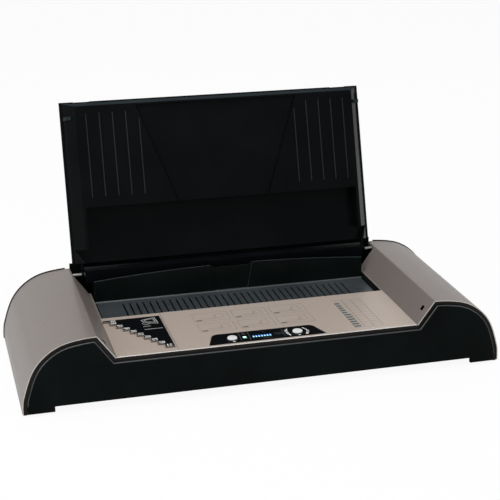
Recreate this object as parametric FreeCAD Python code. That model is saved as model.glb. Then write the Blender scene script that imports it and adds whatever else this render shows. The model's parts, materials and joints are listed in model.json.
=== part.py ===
import FreeCAD, Part
import math
import os

from FreeCAD import Vector

# Thermal binding machine with its lid standing open as a document rest.
# X runs to the right, Y to the back and Z up from the table. Lengths are in millimetres.
# The model is drawn about the middle of the body and set on its bounding box centre at the end.

# Body outline
body_width = 531.0
body_depth = 208.0
wing_height = 81.3
deck_height = 55.5
wing_width = 101.0
ledge_width = 2.3
deck_ledge = 0.4
edge_wall = 1.0
slope_run = 18.8
shell_wall = 2.5
shell_lift = 2.0
fit_gap = 0.3
overrun = 1.0
crown_shares = ((0.0, 1.0), (0.22, 0.984), (0.473, 0.927), (0.7, 0.785), (0.865, 0.569),
                (0.965, 0.29), (1.0, 0.0))

# Pan, feet and their screws
pan_lift = 7.0
pan_floor = 2.5
pan_rim = 10.0
pan_wall = 2.0
pan_side_gap = 2.2
pan_end_gap = 4.0
foot_radius = 9.0
foot_inset = 20.5
foot_end_inset = 20.0
boss_radius = 4.0
boss_inset = 26.5
boss_end_inset = 34.0
boss_lift = 1.0
screw_radius = 1.5
screw_fit = 0.05
screw_head_radius = 3.2
screw_head = 1.8
screw_reach = 10.0
vent_count = 12
vent_inset = 4.0
vent_length = 34.0
vent_width = 3.6
vent_pitch = 20.0

# Wing details
slope_corner_radius = 2.5
ledge_drop = 2.0
ledge_reach = 2.0
step_thick = 1.0
slot_height = 5.6
slot_width = 5.1
catch_length_share = 0.4072449
latch_share = 0.5329457
catch_width = 8.0
catch_thick = 1.2

# Front fascia
fascia_lift = 8.8
fascia_foot_width = 33.5
fascia_foot_lift = 2.3
fascia_ring_lift = 1.0
fascia_ring = 3.8
fascia_set_back = 1.2
fascia_plate = 1.4
fascia_proud = 2.0
fascia_edge_radius = 1.6

# Rear panel
rim_proud = 0.9
rim_thick = 2.0
rim_centre_reach = 21.0
rim_gap = 5.4
rim_gap_drop = 1.0
rim_centre_rise = 2.3
rear_vent_count = 14
rear_vent_pitch = 16.0
rear_vent_width = 3.6
rear_vent_height = 16.0
rear_vent_lift = 28.0

# Appliance inlet
inlet_inset = 51.5
inlet_z = 34.0
inlet_body_width = 28.0
inlet_body_height = 21.0
inlet_body_depth = 24.0
inlet_flange_width = 48.0
inlet_flange_height = 25.0
inlet_flange = 2.0
inlet_mouth_width = 24.4
inlet_mouth_height = 16.6
inlet_mouth_depth = 17.0
inlet_corner = 4.5
inlet_pin_width = 4.0
inlet_pin_thick = 2.0
inlet_pin_spacing = 7.0
inlet_pin_drop = 2.0
inlet_pin_reach = 12.0
inlet_earth_rise = 4.0
inlet_screw_spacing = 20.0

# Channel, heater and what carries them
opening_depth = 100.0
plate_inset = 3.0
rail_gap = 2.7
rail_width = 3.0
rail_drop = 4.5
channel_inset = 10.0
channel_wall = 3.0
front_wall_drop = 11.5
channel_rear = 23.0
channel_floor = 24.0
heater_gap = 0.4
heater_thick = 3.0
element_thick = 1.4
insulation_thick = 6.0
tray_thick = 1.2
tray_lip = 5.0
standoff_radius = 6.0
standoff_inset = 26.0
standoff_y = 30.0
thermostat_radius = 8.0
thermostat_height = 6.5
sensor_inset = 38.0
fuse_radius = 2.2
fuse_length = 14.0
pocket_gap = 1.0

# Sliding clamp carriage
plate_drop = 5.5
plate_thick = 2.2
plate_tuck = 14.0
clamp_opening = 16.0
clamp_wall_thick = 3.5
clamp_wall_lean = 1.5
clamp_wall_height = 25.5
clamp_wall_arch = 7.3
clamp_foot = 1.2
clamp_reach = 1.0
skirt_inset = 1.5
skirt_thick = 2.5
skirt_gap = 2.0
liner_sheet = 0.8
recess_half = 19.5
recess_taper = 6.0
recess_ramp = 6.4
recess_depth = 1.8
recess_drop = 3.6
slot_count = 35
slot_margin = 29.3
slot_gap = 2.0
slot_rear_gap = 9.5
slot_front_gap = 2.0
arm_width = 22.5
arm_reach = 22.0
arm_depth = 18.0
rod_reach = 7.5
rod_drop = 6.5
rod_radius = 3.0
bush_outer_radius = 4.9
bush_fit = 0.06
bush_seat_gap = 0.02
housing_half = 6.6
housing_drop = 6.6
rod_front_gap = 14.0
clamp_close_travel = 10.0
holder_length = 6.0
holder_gap = 2.0

# Rear guide and hinge
guide_reach = 5.5
guide_rise = 3.0
guide_depth = 13.5
guide_wall = 3.0
guide_side_gap = 0.8
guide_skin = 2.5
guide_block_width = 12.0
guide_block_height = 15.3
guide_end_radius = 3.0
hinge_inset = 14.5
hinge_drop = 6.8
hinge_pin_radius = 2.0
hinge_pin_reach = 14.0
hinge_bush_radius = 3.2
hinge_fit = 0.05
eye_radius = 5.0
eye_gap = 0.7
open_lean = 17.7

# Lid, drawn shut: along runs forward from the hinge axis and depth runs down from the outer face
lid_front_overhang = 5.4
lid_overhang = 11.5
lid_axis_depth = 6.2
lid_depth = 21.4
lid_side_run = 14.0
lid_end_run = 5.4
lid_wall = 2.2
lid_rim = 2.2
lid_flange = 1.3
lid_flange_depth = 2.0
grip_inset = 34.4
grip_width = 19.0
lid_shell_thick = 2.0
lid_shell_crown = 4.5
lid_shell_start = 12.0
lid_tray_start = 28.5
lid_cheek_start = 13.0
lid_cheek_upper = 4.3
lid_cheek_lower = 16.0
eye_side_gap = 1.0
arm_thick = 2.6
arm_length = 24.0
arm_root = 10.0
arm_bottom = 6.5
centre_recess = 3.0
centre_recess_bevel = 1.6
centre_top_share = 0.5255917
centre_low_share = 0.2008806
rib_count = 5
rib_spacing_share = 0.0847551
rib_inset = 26.2
rib_width = 1.2
rib_rise = 0.9
rib_end_gap = 14.0
rib_short_gap = 9.5
rib_length = 97.0
nub_inset = 18.4
nub_width = 4.0
nub_top = 3.0
nub_drop = 0.5
nub_tip_depth = 9.0
notch_inset = 22.6
pocket_side_gap = 1.5
pocket_end_gap = 2.0
notch_along = 76.0
notch_radius = 1.8

# Deck, thickness scale and control panel
deck_set_back = 1.0
deck_thick = 2.5
scale_share = 0.394
scale_lip = 4.0
scale_block_top = 12.1
scale_steps = 10
scale_first_width = 6.3
scale_first_depth = 3.6
scale_end_width = 10.5
scale_front_gap = 9.6
scale_right_margin = 2.1
scale_block_rise = 1.6
scale_label_inset = 0.5
scale_label_thick = 0.4
panel_front = 4.2
panel_depth = 26.5
panel_front_half = 64.8
panel_back_half = 55.8
panel_corner = 8.0
panel_thick = 1.5
panel_proud = 0.2
panel_centre_x = -1.9
button_radius = 5.4
button_rise = 1.6
button_left_x = -38.8
button_right_x = 34.0
button_inset = 16.5
button_gap = 0.4
button_stem_radius = 2.4
button_flange_radius = 7.4
button_flange = 1.4
button_travel = 1.2
light_count = 7
light_pitch = 3.1
light_width = 2.0
light_length = 4.6
light_first_x = -15.6
light_inset = 15.6
light_gap = 0.1
ready_x = -25.3
ready_width = 3.6

# Boards and wiring
board_drop = 8.0
board_thick = 1.6
board_left = -58.0
board_right = 56.0
board_front_gap = 5.0
board_depth = 34.0
board_post_radius = 3.2
board_post_inset = 5.0
led_height = 0.9
dome_radius = 3.6
dome_rest = 1.0
buzzer_radius = 5.5
buzzer_height = 4.0
buzzer_x = 15.0
buzzer_drop = 12.0
power_inset = 70.5
power_width = 38.0
power_front_gap = 26.0
power_rear_gap = 44.0
power_rise = 7.0
pillar_radius = 3.0
pillar_inset = 6.0
transformer_width = 34.0
transformer_depth_share = 0.3043478
transformer_height = 30.0
transformer_share = 0.4202899
core_band = 12.0
core_lip = 3.0
relay_width = 15.0
relay_depth = 19.0
relay_height = 15.0
relay_share = 0.6956522
capacitor_radius = 7.0
capacitor_height = 24.0
capacitor_share = 0.1956522
terminal_width = 9.0
terminal_depth = 16.0
terminal_height = 11.0
terminal_share = 0.8840580
lead_radius = 1.1
lead_spacing = 5.0
lead_hole_gap = 0.6
ribbon_width = 10.0
ribbon_thick = 0.9
ribbon_lead = 40.5
ribbon_bend = 6.0

# Places worked out from the sizes above
half_width = body_width / 2
front_y = -body_depth / 2
rear_y = body_depth / 2
deck_half = half_width - wing_width
foot_x = half_width - foot_inset
foot_y = rear_y - foot_end_inset
boss_x = half_width - boss_inset
boss_y = rear_y - boss_end_inset
fascia_foot_inner = half_width - fascia_foot_width
inlet_x = half_width - inlet_inset
opening_y = rear_y - opening_depth
channel_front_y = opening_y + channel_inset
channel_back_y = rear_y - channel_rear
vent_front_y = channel_front_y + vent_inset
plate_top = deck_height - plate_drop
plate_half = deck_half - plate_inset
plate_front_y = opening_y - plate_tuck
clamp_wall_y = channel_back_y - clamp_opening
clamp_half = plate_half + clamp_reach
skirt_half = plate_half - skirt_inset
standoff_x = skirt_half - standoff_inset
thermostat_x = skirt_half - sensor_inset
fuse_x = sensor_inset - skirt_half
slot_half = plate_half - slot_margin
slot_pitch = 2 * slot_half / (slot_count - 1)
slot_back_y = clamp_wall_y - slot_rear_gap
slot_front_y = opening_y + slot_front_gap
arm_inner = plate_half - arm_width
arm_front_y = plate_front_y - arm_reach
arm_back_y = arm_front_y + arm_depth
rod_x = deck_half + rod_reach
clamp_open_travel = arm_front_y - holder_gap - holder_length - front_y - rod_front_gap
guide_half = deck_half + guide_reach
guide_top = wing_height + guide_rise
guide_block_bottom = guide_top - guide_block_height
rim_centre_half = deck_half + rim_centre_reach
rim_centre_height = guide_top + rim_centre_rise
hinge_y = rear_y - hinge_inset
hinge_z = guide_top - hinge_drop
hinge_pin_end = guide_half + hinge_pin_reach
lid_half = guide_half + lid_overhang
lid_reach = hinge_y - front_y + lid_front_overhang
centre_top_half = lid_half * centre_top_share
centre_low_half = lid_half * centre_low_share
rib_spacing = lid_half * rib_spacing_share
rib_outer_x = lid_half - rib_inset
nub_along = lid_reach - nub_inset
notch_x = lid_half - notch_inset
scale_width = deck_half * scale_share
scale_right = scale_width - deck_half
button_y = front_y + button_inset
light_y = front_y + light_inset
power_left = half_width - power_inset
power_front_y = front_y + power_front_gap
power_depth = body_depth - power_front_gap - power_rear_gap
transformer_depth = power_depth * transformer_depth_share
transformer_y = power_front_y + power_depth * transformer_share
terminal_y = power_front_y + power_depth * terminal_share
relay_y = power_front_y + power_depth * relay_share
capacitor_y = power_front_y + power_depth * capacitor_share
slope_foot_x = deck_half + ledge_width
deck_side = slope_foot_x - deck_ledge
scale_left = fit_gap - deck_side
scale_block_right = scale_right - fit_gap - scale_right_margin
scale_inner_width = scale_block_right - scale_left - scale_first_width - scale_end_width
scale_step_x = scale_inner_width / (scale_steps - 2)
scale_depth = opening_y - scale_block_top - scale_first_depth - front_y - scale_front_gap
scale_step_y = scale_depth / (scale_steps - 1)
slope_top_x = slope_foot_x + slope_run
slope_rise = wing_height - deck_height
slope_length = math.hypot(slope_run, slope_rise)
slope_angle = math.degrees(math.atan2(slope_rise, slope_run))
catch_length = slope_length * catch_length_share
latch_z = deck_height + slope_rise * latch_share
pan_top = pan_lift + pan_floor
pan_half = half_width - shell_wall - pan_side_gap
pan_front_y = front_y + fascia_set_back + fascia_plate
pan_back_y = rear_y - pan_end_gap
hinge_cut_y = hinge_y - eye_radius - eye_gap
lid_top = hinge_z + lid_axis_depth
nub_bottom = lid_top - latch_z + nub_drop
slot_top_z = latch_z + slot_height / 2 * slope_rise / slope_length
nub_tip_x = slope_foot_x + (slot_top_z - deck_height) * slope_run / slope_rise - fit_gap
pocket_half = clamp_half + pocket_side_gap
pocket_end = hinge_y - clamp_wall_y + clamp_open_travel + pocket_end_gap
pocket_depth = lid_shell_thick + fit_gap
arm_top = lid_shell_thick + fit_gap
arm_x_inner = guide_half + eye_side_gap
arm_x_outer = arm_x_inner + arm_thick
closing_angle = 90 + open_lean
rail_inner = plate_half + rail_gap
rail_outer = rail_inner + rail_width
guide_wall_half = deck_half - guide_side_gap
rod_z = plate_top - rod_drop
deck_floor = deck_height - deck_thick
step_bottom = deck_floor - ledge_drop
step_top = step_bottom + step_thick
board_top = deck_floor - board_drop
board_bottom = board_top - board_thick
board_front_y = front_y + board_front_gap
board_back_y = board_front_y + board_depth
power_bottom = pan_top + power_rise
power_top = power_bottom + board_thick
element_z = channel_floor - heater_thick
insulation_z = element_z - element_thick
tray_z = insulation_z - insulation_thick
panel_seat = deck_height + panel_proud - panel_thick
side_share = lid_side_run / lid_depth
end_share = lid_end_run / lid_depth


def box(x0, x1, y0, y1, z0, z1):
    """A box between two corners, given low and high along each axis."""
    return Part.makeBox(x1 - x0, y1 - y0, z1 - z0, Vector(x0, y0, z0))


def rod(x, y, z, radius, length, direction):
    """A round bar from a point along a direction."""
    return Part.makeCylinder(radius, length, Vector(x, y, z), direction)


def along_x(points, x0, x1):
    """A prism with a (y, z) outline between two x places."""
    wire = Part.makePolygon([Vector(x0, y, z) for y, z in points + points[:1]])
    return Part.Face(wire).extrude(Vector(x1 - x0, 0, 0))


def along_y(points, y0, y1):
    """A prism with an (x, z) outline between two y places."""
    wire = Part.makePolygon([Vector(x, y0, z) for x, z in points + points[:1]])
    return Part.Face(wire).extrude(Vector(0, y1 - y0, 0))


def along_z(points, z0, z1):
    """A prism with an (x, y) outline between two heights."""
    wire = Part.makePolygon([Vector(x, y, z0) for x, y in points + points[:1]])
    return Part.Face(wire).extrude(Vector(0, 0, z1 - z0))


def mirrored(shape):
    """The same shape on the other side of the machine."""
    return shape.mirror(Vector(0, 0, 0), Vector(1, 0, 0))


def both(shape):
    """A shape and its mirror image as separate solids."""
    return [shape, mirrored(shape)]


def group(shapes):
    """Separate solids kept together in one node."""
    return Part.makeCompound([solid for shape in shapes for solid in shape.Solids])


def joined(shapes):
    """One solid from shapes that overlap or touch."""
    return shapes[0].multiFuse(shapes[1:]).removeSplitter()


def rounded(shape, radius, test):
    """Fillet the edges whose middle point passes a test."""
    edges = [edge for edge in shape.Edges if test(edge)]
    return shape.makeFillet(radius, edges)


def runs_along(edge, axis):
    """True for a straight edge along one axis."""
    ends = [vertex.Point for vertex in edge.Vertexes]
    if len(ends) < 2:
        return False
    step = ends[1] - ends[0]
    return abs(abs(step.dot(axis)) - step.Length) < fit_gap / step.Length


# Outline of the body seen from the front

def slope_x(offset, z):
    """Where the inner slope, moved into the wing by an offset, stands at a height."""
    return slope_foot_x + offset * slope_length / slope_rise + (z - deck_height) * slope_run / slope_rise


def crown_edge(offset, bottom, y):
    """The arched outer edge of the wing, moved inwards by an offset."""
    start_x = slope_x(offset, wing_height - offset)
    run = half_width - offset - start_x
    rise = wing_height - offset - bottom
    points = [Vector(start_x + share_x * run, y, bottom + share_z * rise)
              for share_x, share_z in crown_shares]
    curve = Part.BSplineCurve()
    curve.interpolate(Points=points, InitialTangent=Vector(1, 0, 0), FinalTangent=Vector(0, 0, -1))
    return curve.toShape()


def lines(points, y):
    """Straight edges through (x, z) points."""
    corners = [Vector(x, y, z) for x, z in points]
    return [Part.makeLine(a, b) for a, b in zip(corners, corners[1:])]


def wing_solid(offset, bottom, inner_x, inner_z, y0, y1):
    """A solid wing section from an inner corner over the slope and the arch down to its lower edge."""
    arch = crown_edge(offset, bottom, y0)
    start = arch.Vertexes[0].Point
    end = arch.Vertexes[1].Point
    if start.x > end.x:
        start, end = end, start
    slope_start = slope_x(offset, inner_z)
    first = lines([(inner_x, inner_z), (slope_start, inner_z), (start.x, start.z)], y0)
    last = lines([(end.x, end.z), (inner_x, end.z), (inner_x, inner_z)], y0)
    wire = Part.Wire(Part.__sortEdges__(first + [arch] + last))
    return Part.Face(wire).extrude(Vector(0, y1 - y0, 0))


def latch_slot(extra):
    """The slot in the slope that takes the lid's nub."""
    slot = box(-shell_wall - overrun, shell_wall + overrun, -slot_width / 2 - extra, slot_width / 2 + extra,
               -slot_height / 2 - extra, slot_height / 2 + extra)
    slot.rotate(Vector(0, 0, 0), Vector(0, 1, 0), 90 - slope_angle)
    slot.translate(Vector(slope_x(0, latch_z), hinge_y - nub_along, latch_z))
    return slot


def wing_cover():
    """The right silver shell: arch, slope, narrow ledge and the step that carries the deck."""
    outer = wing_solid(0, shell_lift, deck_half, deck_height, front_y, rear_y)
    inner = wing_solid(shell_wall, shell_lift - overrun, deck_half - overrun, deck_floor,
                       front_y - overrun, rear_y + overrun)
    rebate = wing_solid(edge_wall, shell_lift - overrun, deck_half - overrun, deck_height - edge_wall,
                        front_y - overrun, pan_front_y + fit_gap)
    deck_room = box(deck_half - overrun, deck_side, front_y - overrun, opening_y, deck_floor - overrun,
                    deck_height + overrun)
    shell = outer.cut(inner).cut(rebate).cut(deck_room)
    shell = rounded(shell, slope_corner_radius, lambda edge: runs_along(edge, Vector(0, 1, 0)) and
                    abs(edge.CenterOfMass.x - slope_top_x) < fit_gap and
                    abs(edge.CenterOfMass.z - wing_height) < fit_gap)
    wall_x = slope_x(shell_wall, deck_floor)
    step = box(deck_half - ledge_reach, wall_x, pan_front_y + fit_gap, opening_y, step_bottom, step_top)
    web = box(deck_side, wall_x, pan_front_y + fit_gap, opening_y, step_bottom, deck_floor + overrun)
    bosses = []
    for y in (-boss_y, boss_y):
        boss = rod(boss_x, y, pan_top + boss_lift, boss_radius, wing_height, Vector(0, 0, 1)).common(outer)
        bosses.append(boss)
    shell = joined([shell, step, web] + bosses)
    for y in (-boss_y, boss_y):
        shell = shell.cut(rod(boss_x, y, pan_top, screw_radius + screw_fit, screw_reach, Vector(0, 0, 1)))
    hinge_room = box(deck_half - ledge_reach - overrun, slope_top_x - overrun, hinge_cut_y, rear_y + overrun,
                     step_bottom - overrun, wing_height + overrun)
    return shell.cut(hinge_room).cut(latch_slot(0))


def latch_catch():
    """A leaf spring behind the latch slot, held flat against the inside of the slope."""
    leaf = box(0, catch_thick, -catch_width / 2, catch_width / 2, -catch_length, -slot_height / 2 - overrun)
    leaf.rotate(Vector(0, 0, 0), Vector(0, 1, 0), 90 - slope_angle)
    leaf.translate(Vector(slope_x(shell_wall, latch_z), hinge_y - nub_along, latch_z))
    return leaf


def front_section(offset, bottom, y0, y1):
    """The whole front outline inside the silver edge, as one solid between two y places."""
    top = deck_height - offset
    wing = wing_solid(offset, bottom, 0, top, y0, y1)
    return joined([wing, mirrored(wing)])


def front_fascia():
    """Black front: a thin set-back ring under the silver edge and a raised face with a soft edge."""
    ring_y = front_y + fascia_set_back
    ring = front_section(edge_wall + fit_gap, fascia_ring_lift, ring_y, ring_y + fascia_plate)
    face_offset = edge_wall + fit_gap + fascia_ring
    face = front_section(face_offset, fascia_foot_lift, front_y - fascia_proud, ring_y + fit_gap)
    face = rounded(face, fascia_edge_radius,
                   lambda edge: edge.CenterOfMass.y < front_y - fascia_proud + fit_gap)
    gap = box(-fascia_foot_inner, fascia_foot_inner, front_y - fascia_proud - overrun, rear_y, 0, fascia_lift)
    foot_half = half_width - face_offset
    low = box(-foot_half, foot_half, ring_y - overrun, rear_y, 0, fascia_foot_lift)
    return joined([ring.cut(low), face]).cut(gap)


def rear_panel():
    """Black back: a thin rim around the wings' rear edges, with vents and the inlet's hole."""
    y1 = rear_y + rim_thick
    wing = wing_solid(-rim_proud, shell_lift, 0, deck_height, rear_y, y1)
    plate = joined([wing, mirrored(wing), box(-rim_centre_half, rim_centre_half, rear_y, y1, fascia_lift,
                                              rim_centre_height)])
    notch = box(rim_centre_half, rim_centre_half + rim_gap, rear_y - overrun, y1 + overrun,
                wing_height - rim_gap_drop, rim_centre_height)
    plate = plate.cut(notch).cut(mirrored(notch))
    y0 = rear_y - overrun
    plate = plate.cut(box(-fascia_foot_inner, fascia_foot_inner, y0, y1 + overrun, 0, fascia_lift))
    first = -(rear_vent_count - 1) * rear_vent_pitch / 2
    for index in range(rear_vent_count):
        x = first + index * rear_vent_pitch
        plate = plate.cut(box(x - rear_vent_width / 2, x + rear_vent_width / 2, y0, y1 + overrun,
                              rear_vent_lift, rear_vent_lift + rear_vent_height))
    hole = box(inlet_x - inlet_body_width / 2 - fit_gap, inlet_x + inlet_body_width / 2 + fit_gap,
               rear_y - overrun, y1 + overrun,
               inlet_z - inlet_body_height / 2 - fit_gap, inlet_z + inlet_body_height / 2 + fit_gap)
    for side in (-1, 1):
        plate = plate.cut(rod(inlet_x + side * inlet_screw_spacing, rear_y - overrun, inlet_z,
                              screw_radius + screw_fit, rim_thick + 2 * overrun, Vector(0, 1, 0)))
    return plate.cut(hole)


def base_pan():
    """Black pan: floor with vents, a low rim and plain holes for the cover screws."""
    outer = box(-pan_half, pan_half, pan_front_y, pan_back_y, pan_lift, pan_top + pan_rim)
    inner = box(-pan_half + pan_wall, pan_half - pan_wall, pan_front_y + pan_wall, pan_back_y - pan_wall,
                pan_top, pan_top + pan_rim + overrun)
    pan = outer.cut(inner)
    first = -(vent_count - 1) * vent_pitch / 2
    for index in range(vent_count):
        x = first + index * vent_pitch
        pan = pan.cut(box(x - vent_width / 2, x + vent_width / 2, vent_front_y, vent_front_y + vent_length,
                          pan_lift - overrun, pan_top + overrun))
    for x in (-boss_x, boss_x):
        for y in (-boss_y, boss_y):
            pan = pan.cut(rod(x, y, pan_lift - overrun, screw_radius + screw_fit, pan_floor + 2 * overrun,
                              Vector(0, 0, 1)))
    return pan


def rubber_feet():
    """Four round rubber feet under the pan."""
    feet = []
    for x in (-foot_x, foot_x):
        for y in (-foot_y, foot_y):
            feet.append(rod(x, y, 0, foot_radius, pan_lift, Vector(0, 0, 1)))
    return group(feet)


def screw(x, y, z, length, direction):
    """A screw whose head lies against the direction at its starting point."""
    back = Vector(x, y, z) - direction * screw_head
    head = Part.makeCylinder(screw_head_radius, screw_head, back, direction)
    shank = Part.makeCylinder(screw_radius, length, Vector(x, y, z), direction)
    return joined([head, shank])


def base_screws():
    """Screws up through the pan into the wing covers."""
    places = [(x, y) for x in (-boss_x, boss_x) for y in (-boss_y, boss_y)]
    return group([screw(x, y, pan_lift, pan_floor + screw_reach / 2, Vector(0, 0, 1)) for x, y in places])


# Channel and heater

def channel_frame():
    """Inner walls of the document channel; their tops are the rails beside the slotted plate."""
    back = channel_back_y - fit_gap
    front_face = channel_front_y - channel_wall
    wall = box(rail_inner, rail_outer, front_face, back, pan_top, deck_height - rail_drop)
    front = box(-rail_outer, rail_outer, front_face, channel_front_y, pan_top, deck_height - front_wall_drop)
    frame = joined([wall, mirrored(wall), front])
    for side in (-1, 1):
        hole = rod(rail_inner - overrun, terminal_y + side * lead_spacing / 2, lead_z(),
                   lead_radius + lead_hole_gap, rail_width + 2 * overrun, Vector(1, 0, 0))
        frame = frame.cut(hole)
    return frame


def heater_y():
    """Front and back of the heating plate, a small gap inside the channel."""
    return channel_front_y + heater_gap, channel_back_y - heater_gap


def heater_plate():
    """Aluminium plate at the bottom of the channel."""
    y0, y1 = heater_y()
    return box(-skirt_half, skirt_half, y0, y1, element_z, channel_floor)


def heating_element():
    """Flat heating element under the plate."""
    y0, y1 = heater_y()
    return box(-skirt_half, skirt_half, y0 + tray_lip, y1 - tray_lip, insulation_z, element_z)


def thermostat_y():
    """Middle of the heating plate from front to back."""
    return sum(heater_y()) / 2


def sensor_pockets(bottom, top):
    """Round and oblong holes that leave room for the thermostat and the thermal fuse."""
    y = thermostat_y()
    round_hole = rod(thermostat_x, y, bottom, thermostat_radius + pocket_gap, top - bottom, Vector(0, 0, 1))
    half = fuse_length / 2 + pocket_gap
    half_y = fuse_radius + pocket_gap
    slot = box(fuse_x - half, fuse_x + half, y - half_y, y + half_y, bottom, top)
    return [round_hole, slot]


def insulation_pad():
    """Insulating board under the element with pockets for the two sensors."""
    y0, y1 = heater_y()
    half = skirt_half - tray_thick
    pad = box(-half, half, y0 + tray_lip, y1 - tray_lip, tray_z, insulation_z)
    for pocket in sensor_pockets(tray_z - overrun, insulation_z + overrun):
        pad = pad.cut(pocket)
    return pad


def heater_tray():
    """Steel tray with upturned ends that holds the insulation under the plate."""
    y0, y1 = heater_y()
    floor = box(-skirt_half, skirt_half, y0, y1, tray_z - tray_thick, tray_z)
    front = box(-skirt_half, skirt_half, y0, y0 + tray_thick, tray_z - tray_thick, element_z)
    back = box(-skirt_half, skirt_half, y1 - tray_thick, y1, tray_z - tray_thick, element_z)
    tray = joined([floor, front, back])
    for pocket in sensor_pockets(tray_z - tray_thick - overrun, tray_z + overrun):
        tray = tray.cut(pocket)
    return tray


def heater_standoffs():
    """Ceramic spacers between the tray and the pan."""
    y = thermostat_y()
    places = [(x, y + dy) for x in (-standoff_x, standoff_x) for dy in (-standoff_y + standoff_radius,
                                                                        standoff_y - standoff_radius)]
    return group([rod(x, y, pan_top, standoff_radius, tray_z - tray_thick - pan_top, Vector(0, 0, 1))
                  for x, y in places])


def thermostat():
    """Round thermostat pressed against the heating element from below."""
    y = thermostat_y()
    can = rod(thermostat_x, y, insulation_z - thermostat_height, thermostat_radius, thermostat_height,
              Vector(0, 0, 1))
    cap = rod(thermostat_x, y, insulation_z - thermostat_height - tray_thick, thermostat_radius - pocket_gap,
              tray_thick, Vector(0, 0, 1))
    return joined([can, cap])


def thermal_fuse():
    """Thermal fuse lying under the heating element."""
    z = insulation_z - fuse_radius
    return rod(fuse_x - fuse_length / 2, thermostat_y(), z, fuse_radius, fuse_length, Vector(1, 0, 0))


# Clamp carriage

def slotted_plate():
    """Horizontal plate with a row of narrow slots, and the two arms towards the guide rods."""
    low = plate_top - plate_thick
    plate = box(-plate_half, plate_half, plate_front_y, clamp_wall_y + clamp_wall_thick, low, plate_top)
    for index in range(slot_count):
        x = index * slot_pitch - slot_half
        plate = plate.cut(box(x - slot_gap / 2, x + slot_gap / 2, slot_front_y, slot_back_y,
                              low - overrun, plate_top + overrun))
    arm = box(arm_inner, plate_half, arm_front_y, plate_front_y + overrun, low, plate_top)
    reach = box(arm_inner, rod_x + housing_half, arm_front_y, arm_back_y, low, plate_top)
    housing = box(rod_x - housing_half, rod_x + housing_half, arm_front_y, arm_back_y,
                  rod_z - housing_drop, plate_top)
    return joined([plate, arm, reach, housing, mirrored(arm), mirrored(reach), mirrored(housing)])


def clamp_wall():
    """Upright wall with an arched top, leaning back a little, with a finger recess in the middle."""
    back = clamp_wall_y + clamp_wall_thick
    low = plate_top - plate_thick
    end_top = plate_top + clamp_wall_height
    top = end_top + clamp_wall_arch
    wall = along_x([(clamp_wall_y - clamp_foot, plate_top), (clamp_wall_y - clamp_foot, low), (back, low),
                    (back, top), (clamp_wall_y + clamp_wall_lean, top),
                    (clamp_wall_y, plate_top + clamp_foot)], -clamp_half, clamp_half)
    arch = Part.Arc(Vector(-clamp_half, 0, end_top), Vector(0, 0, top), Vector(clamp_half, 0, end_top))
    sides = lines([(clamp_half, end_top), (clamp_half, low), (-clamp_half, low), (-clamp_half, end_top)], 0)
    field = Part.Face(Part.Wire(Part.__sortEdges__([arch.toShape()] + sides)))
    wall = wall.common(field.extrude(Vector(0, rear_y, 0)))
    recess_top = recess_half + recess_taper
    face_y = clamp_wall_y + recess_depth
    lean_y = face_y + clamp_wall_lean
    front = clamp_wall_y - clamp_foot - overrun
    recess = along_x([(front, plate_top + clamp_foot), (face_y, plate_top + clamp_foot), (lean_y, top),
                      (lean_y, top + overrun), (front, top + overrun)], -recess_top, recess_top)
    outline = [(-recess_half, plate_top), (recess_half, plate_top), (recess_top, top),
               (recess_top, top + overrun), (-recess_top, top + overrun), (-recess_top, top)]
    recess = recess.common(along_y(outline, front, back + overrun))
    dip_half = recess_top - recess_ramp
    dip = along_y([(-dip_half, top - recess_drop), (dip_half, top - recess_drop), (recess_top, top),
                   (recess_top, top + overrun), (-recess_top, top + overrun), (-recess_top, top)],
                  front, back + overrun)
    return wall.cut(recess).cut(dip)


def clamp_carriage():
    """Slotted plate, upright wall and the skirt that closes the channel down to the heating plate."""
    back = clamp_wall_y + clamp_wall_thick
    skirt = box(-skirt_half, skirt_half, back - skirt_thick, back, channel_floor + skirt_gap, plate_top)
    carriage = joined([slotted_plate(), clamp_wall(), skirt])
    for x in (-rod_x, rod_x):
        carriage = carriage.cut(rod(x, arm_front_y - overrun, rod_z, bush_outer_radius + bush_seat_gap,
                                    arm_back_y - arm_front_y + 2 * overrun, Vector(0, 1, 0)))
    return carriage


def clamp_liner():
    """Steel sheet on the channel side of the clamp wall."""
    back = clamp_wall_y + clamp_wall_thick
    top = plate_top + clamp_wall_height - pocket_gap
    return box(-skirt_half, skirt_half, back, back + liner_sheet, channel_floor + skirt_gap, top)


def guide_bushes():
    """Plain bushes in the carriage's two housings."""
    bushes = []
    length = arm_back_y - arm_front_y
    for x in (-rod_x, rod_x):
        outer = rod(x, arm_front_y, rod_z, bush_outer_radius, length, Vector(0, 1, 0))
        bore = rod(x, arm_front_y - overrun, rod_z, rod_radius + bush_fit, length + 2 * overrun,
                   Vector(0, 1, 0))
        bushes.append(outer.cut(bore))
    return group(bushes)


def rod_ends():
    """Front and back ends of the guide rods' free length."""
    return arm_front_y - clamp_open_travel - holder_gap, arm_back_y + clamp_close_travel + holder_gap


def guide_rods():
    """Two steel rods that carry the clamp carriage."""
    y0, y1 = rod_ends()
    length = y1 - y0 + 2 * holder_length
    return group([rod(x, y0 - holder_length, rod_z, rod_radius, length, Vector(0, 1, 0))
                  for x in (-rod_x, rod_x)])


def rod_holders():
    """Posts on the pan that hold both ends of each rod."""
    y0, y1 = rod_ends()
    holders = []
    for x in (-rod_x, rod_x):
        for y in (y0 - holder_length, y1):
            post = box(x - housing_half, x + housing_half, y, y + holder_length, pan_top, plate_top)
            hole = rod(x, y - overrun, rod_z, rod_radius + bush_seat_gap, holder_length + 2 * overrun,
                       Vector(0, 1, 0))
            holders.append(post.cut(hole))
    return group(holders)


# Rear guide and hinge

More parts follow.
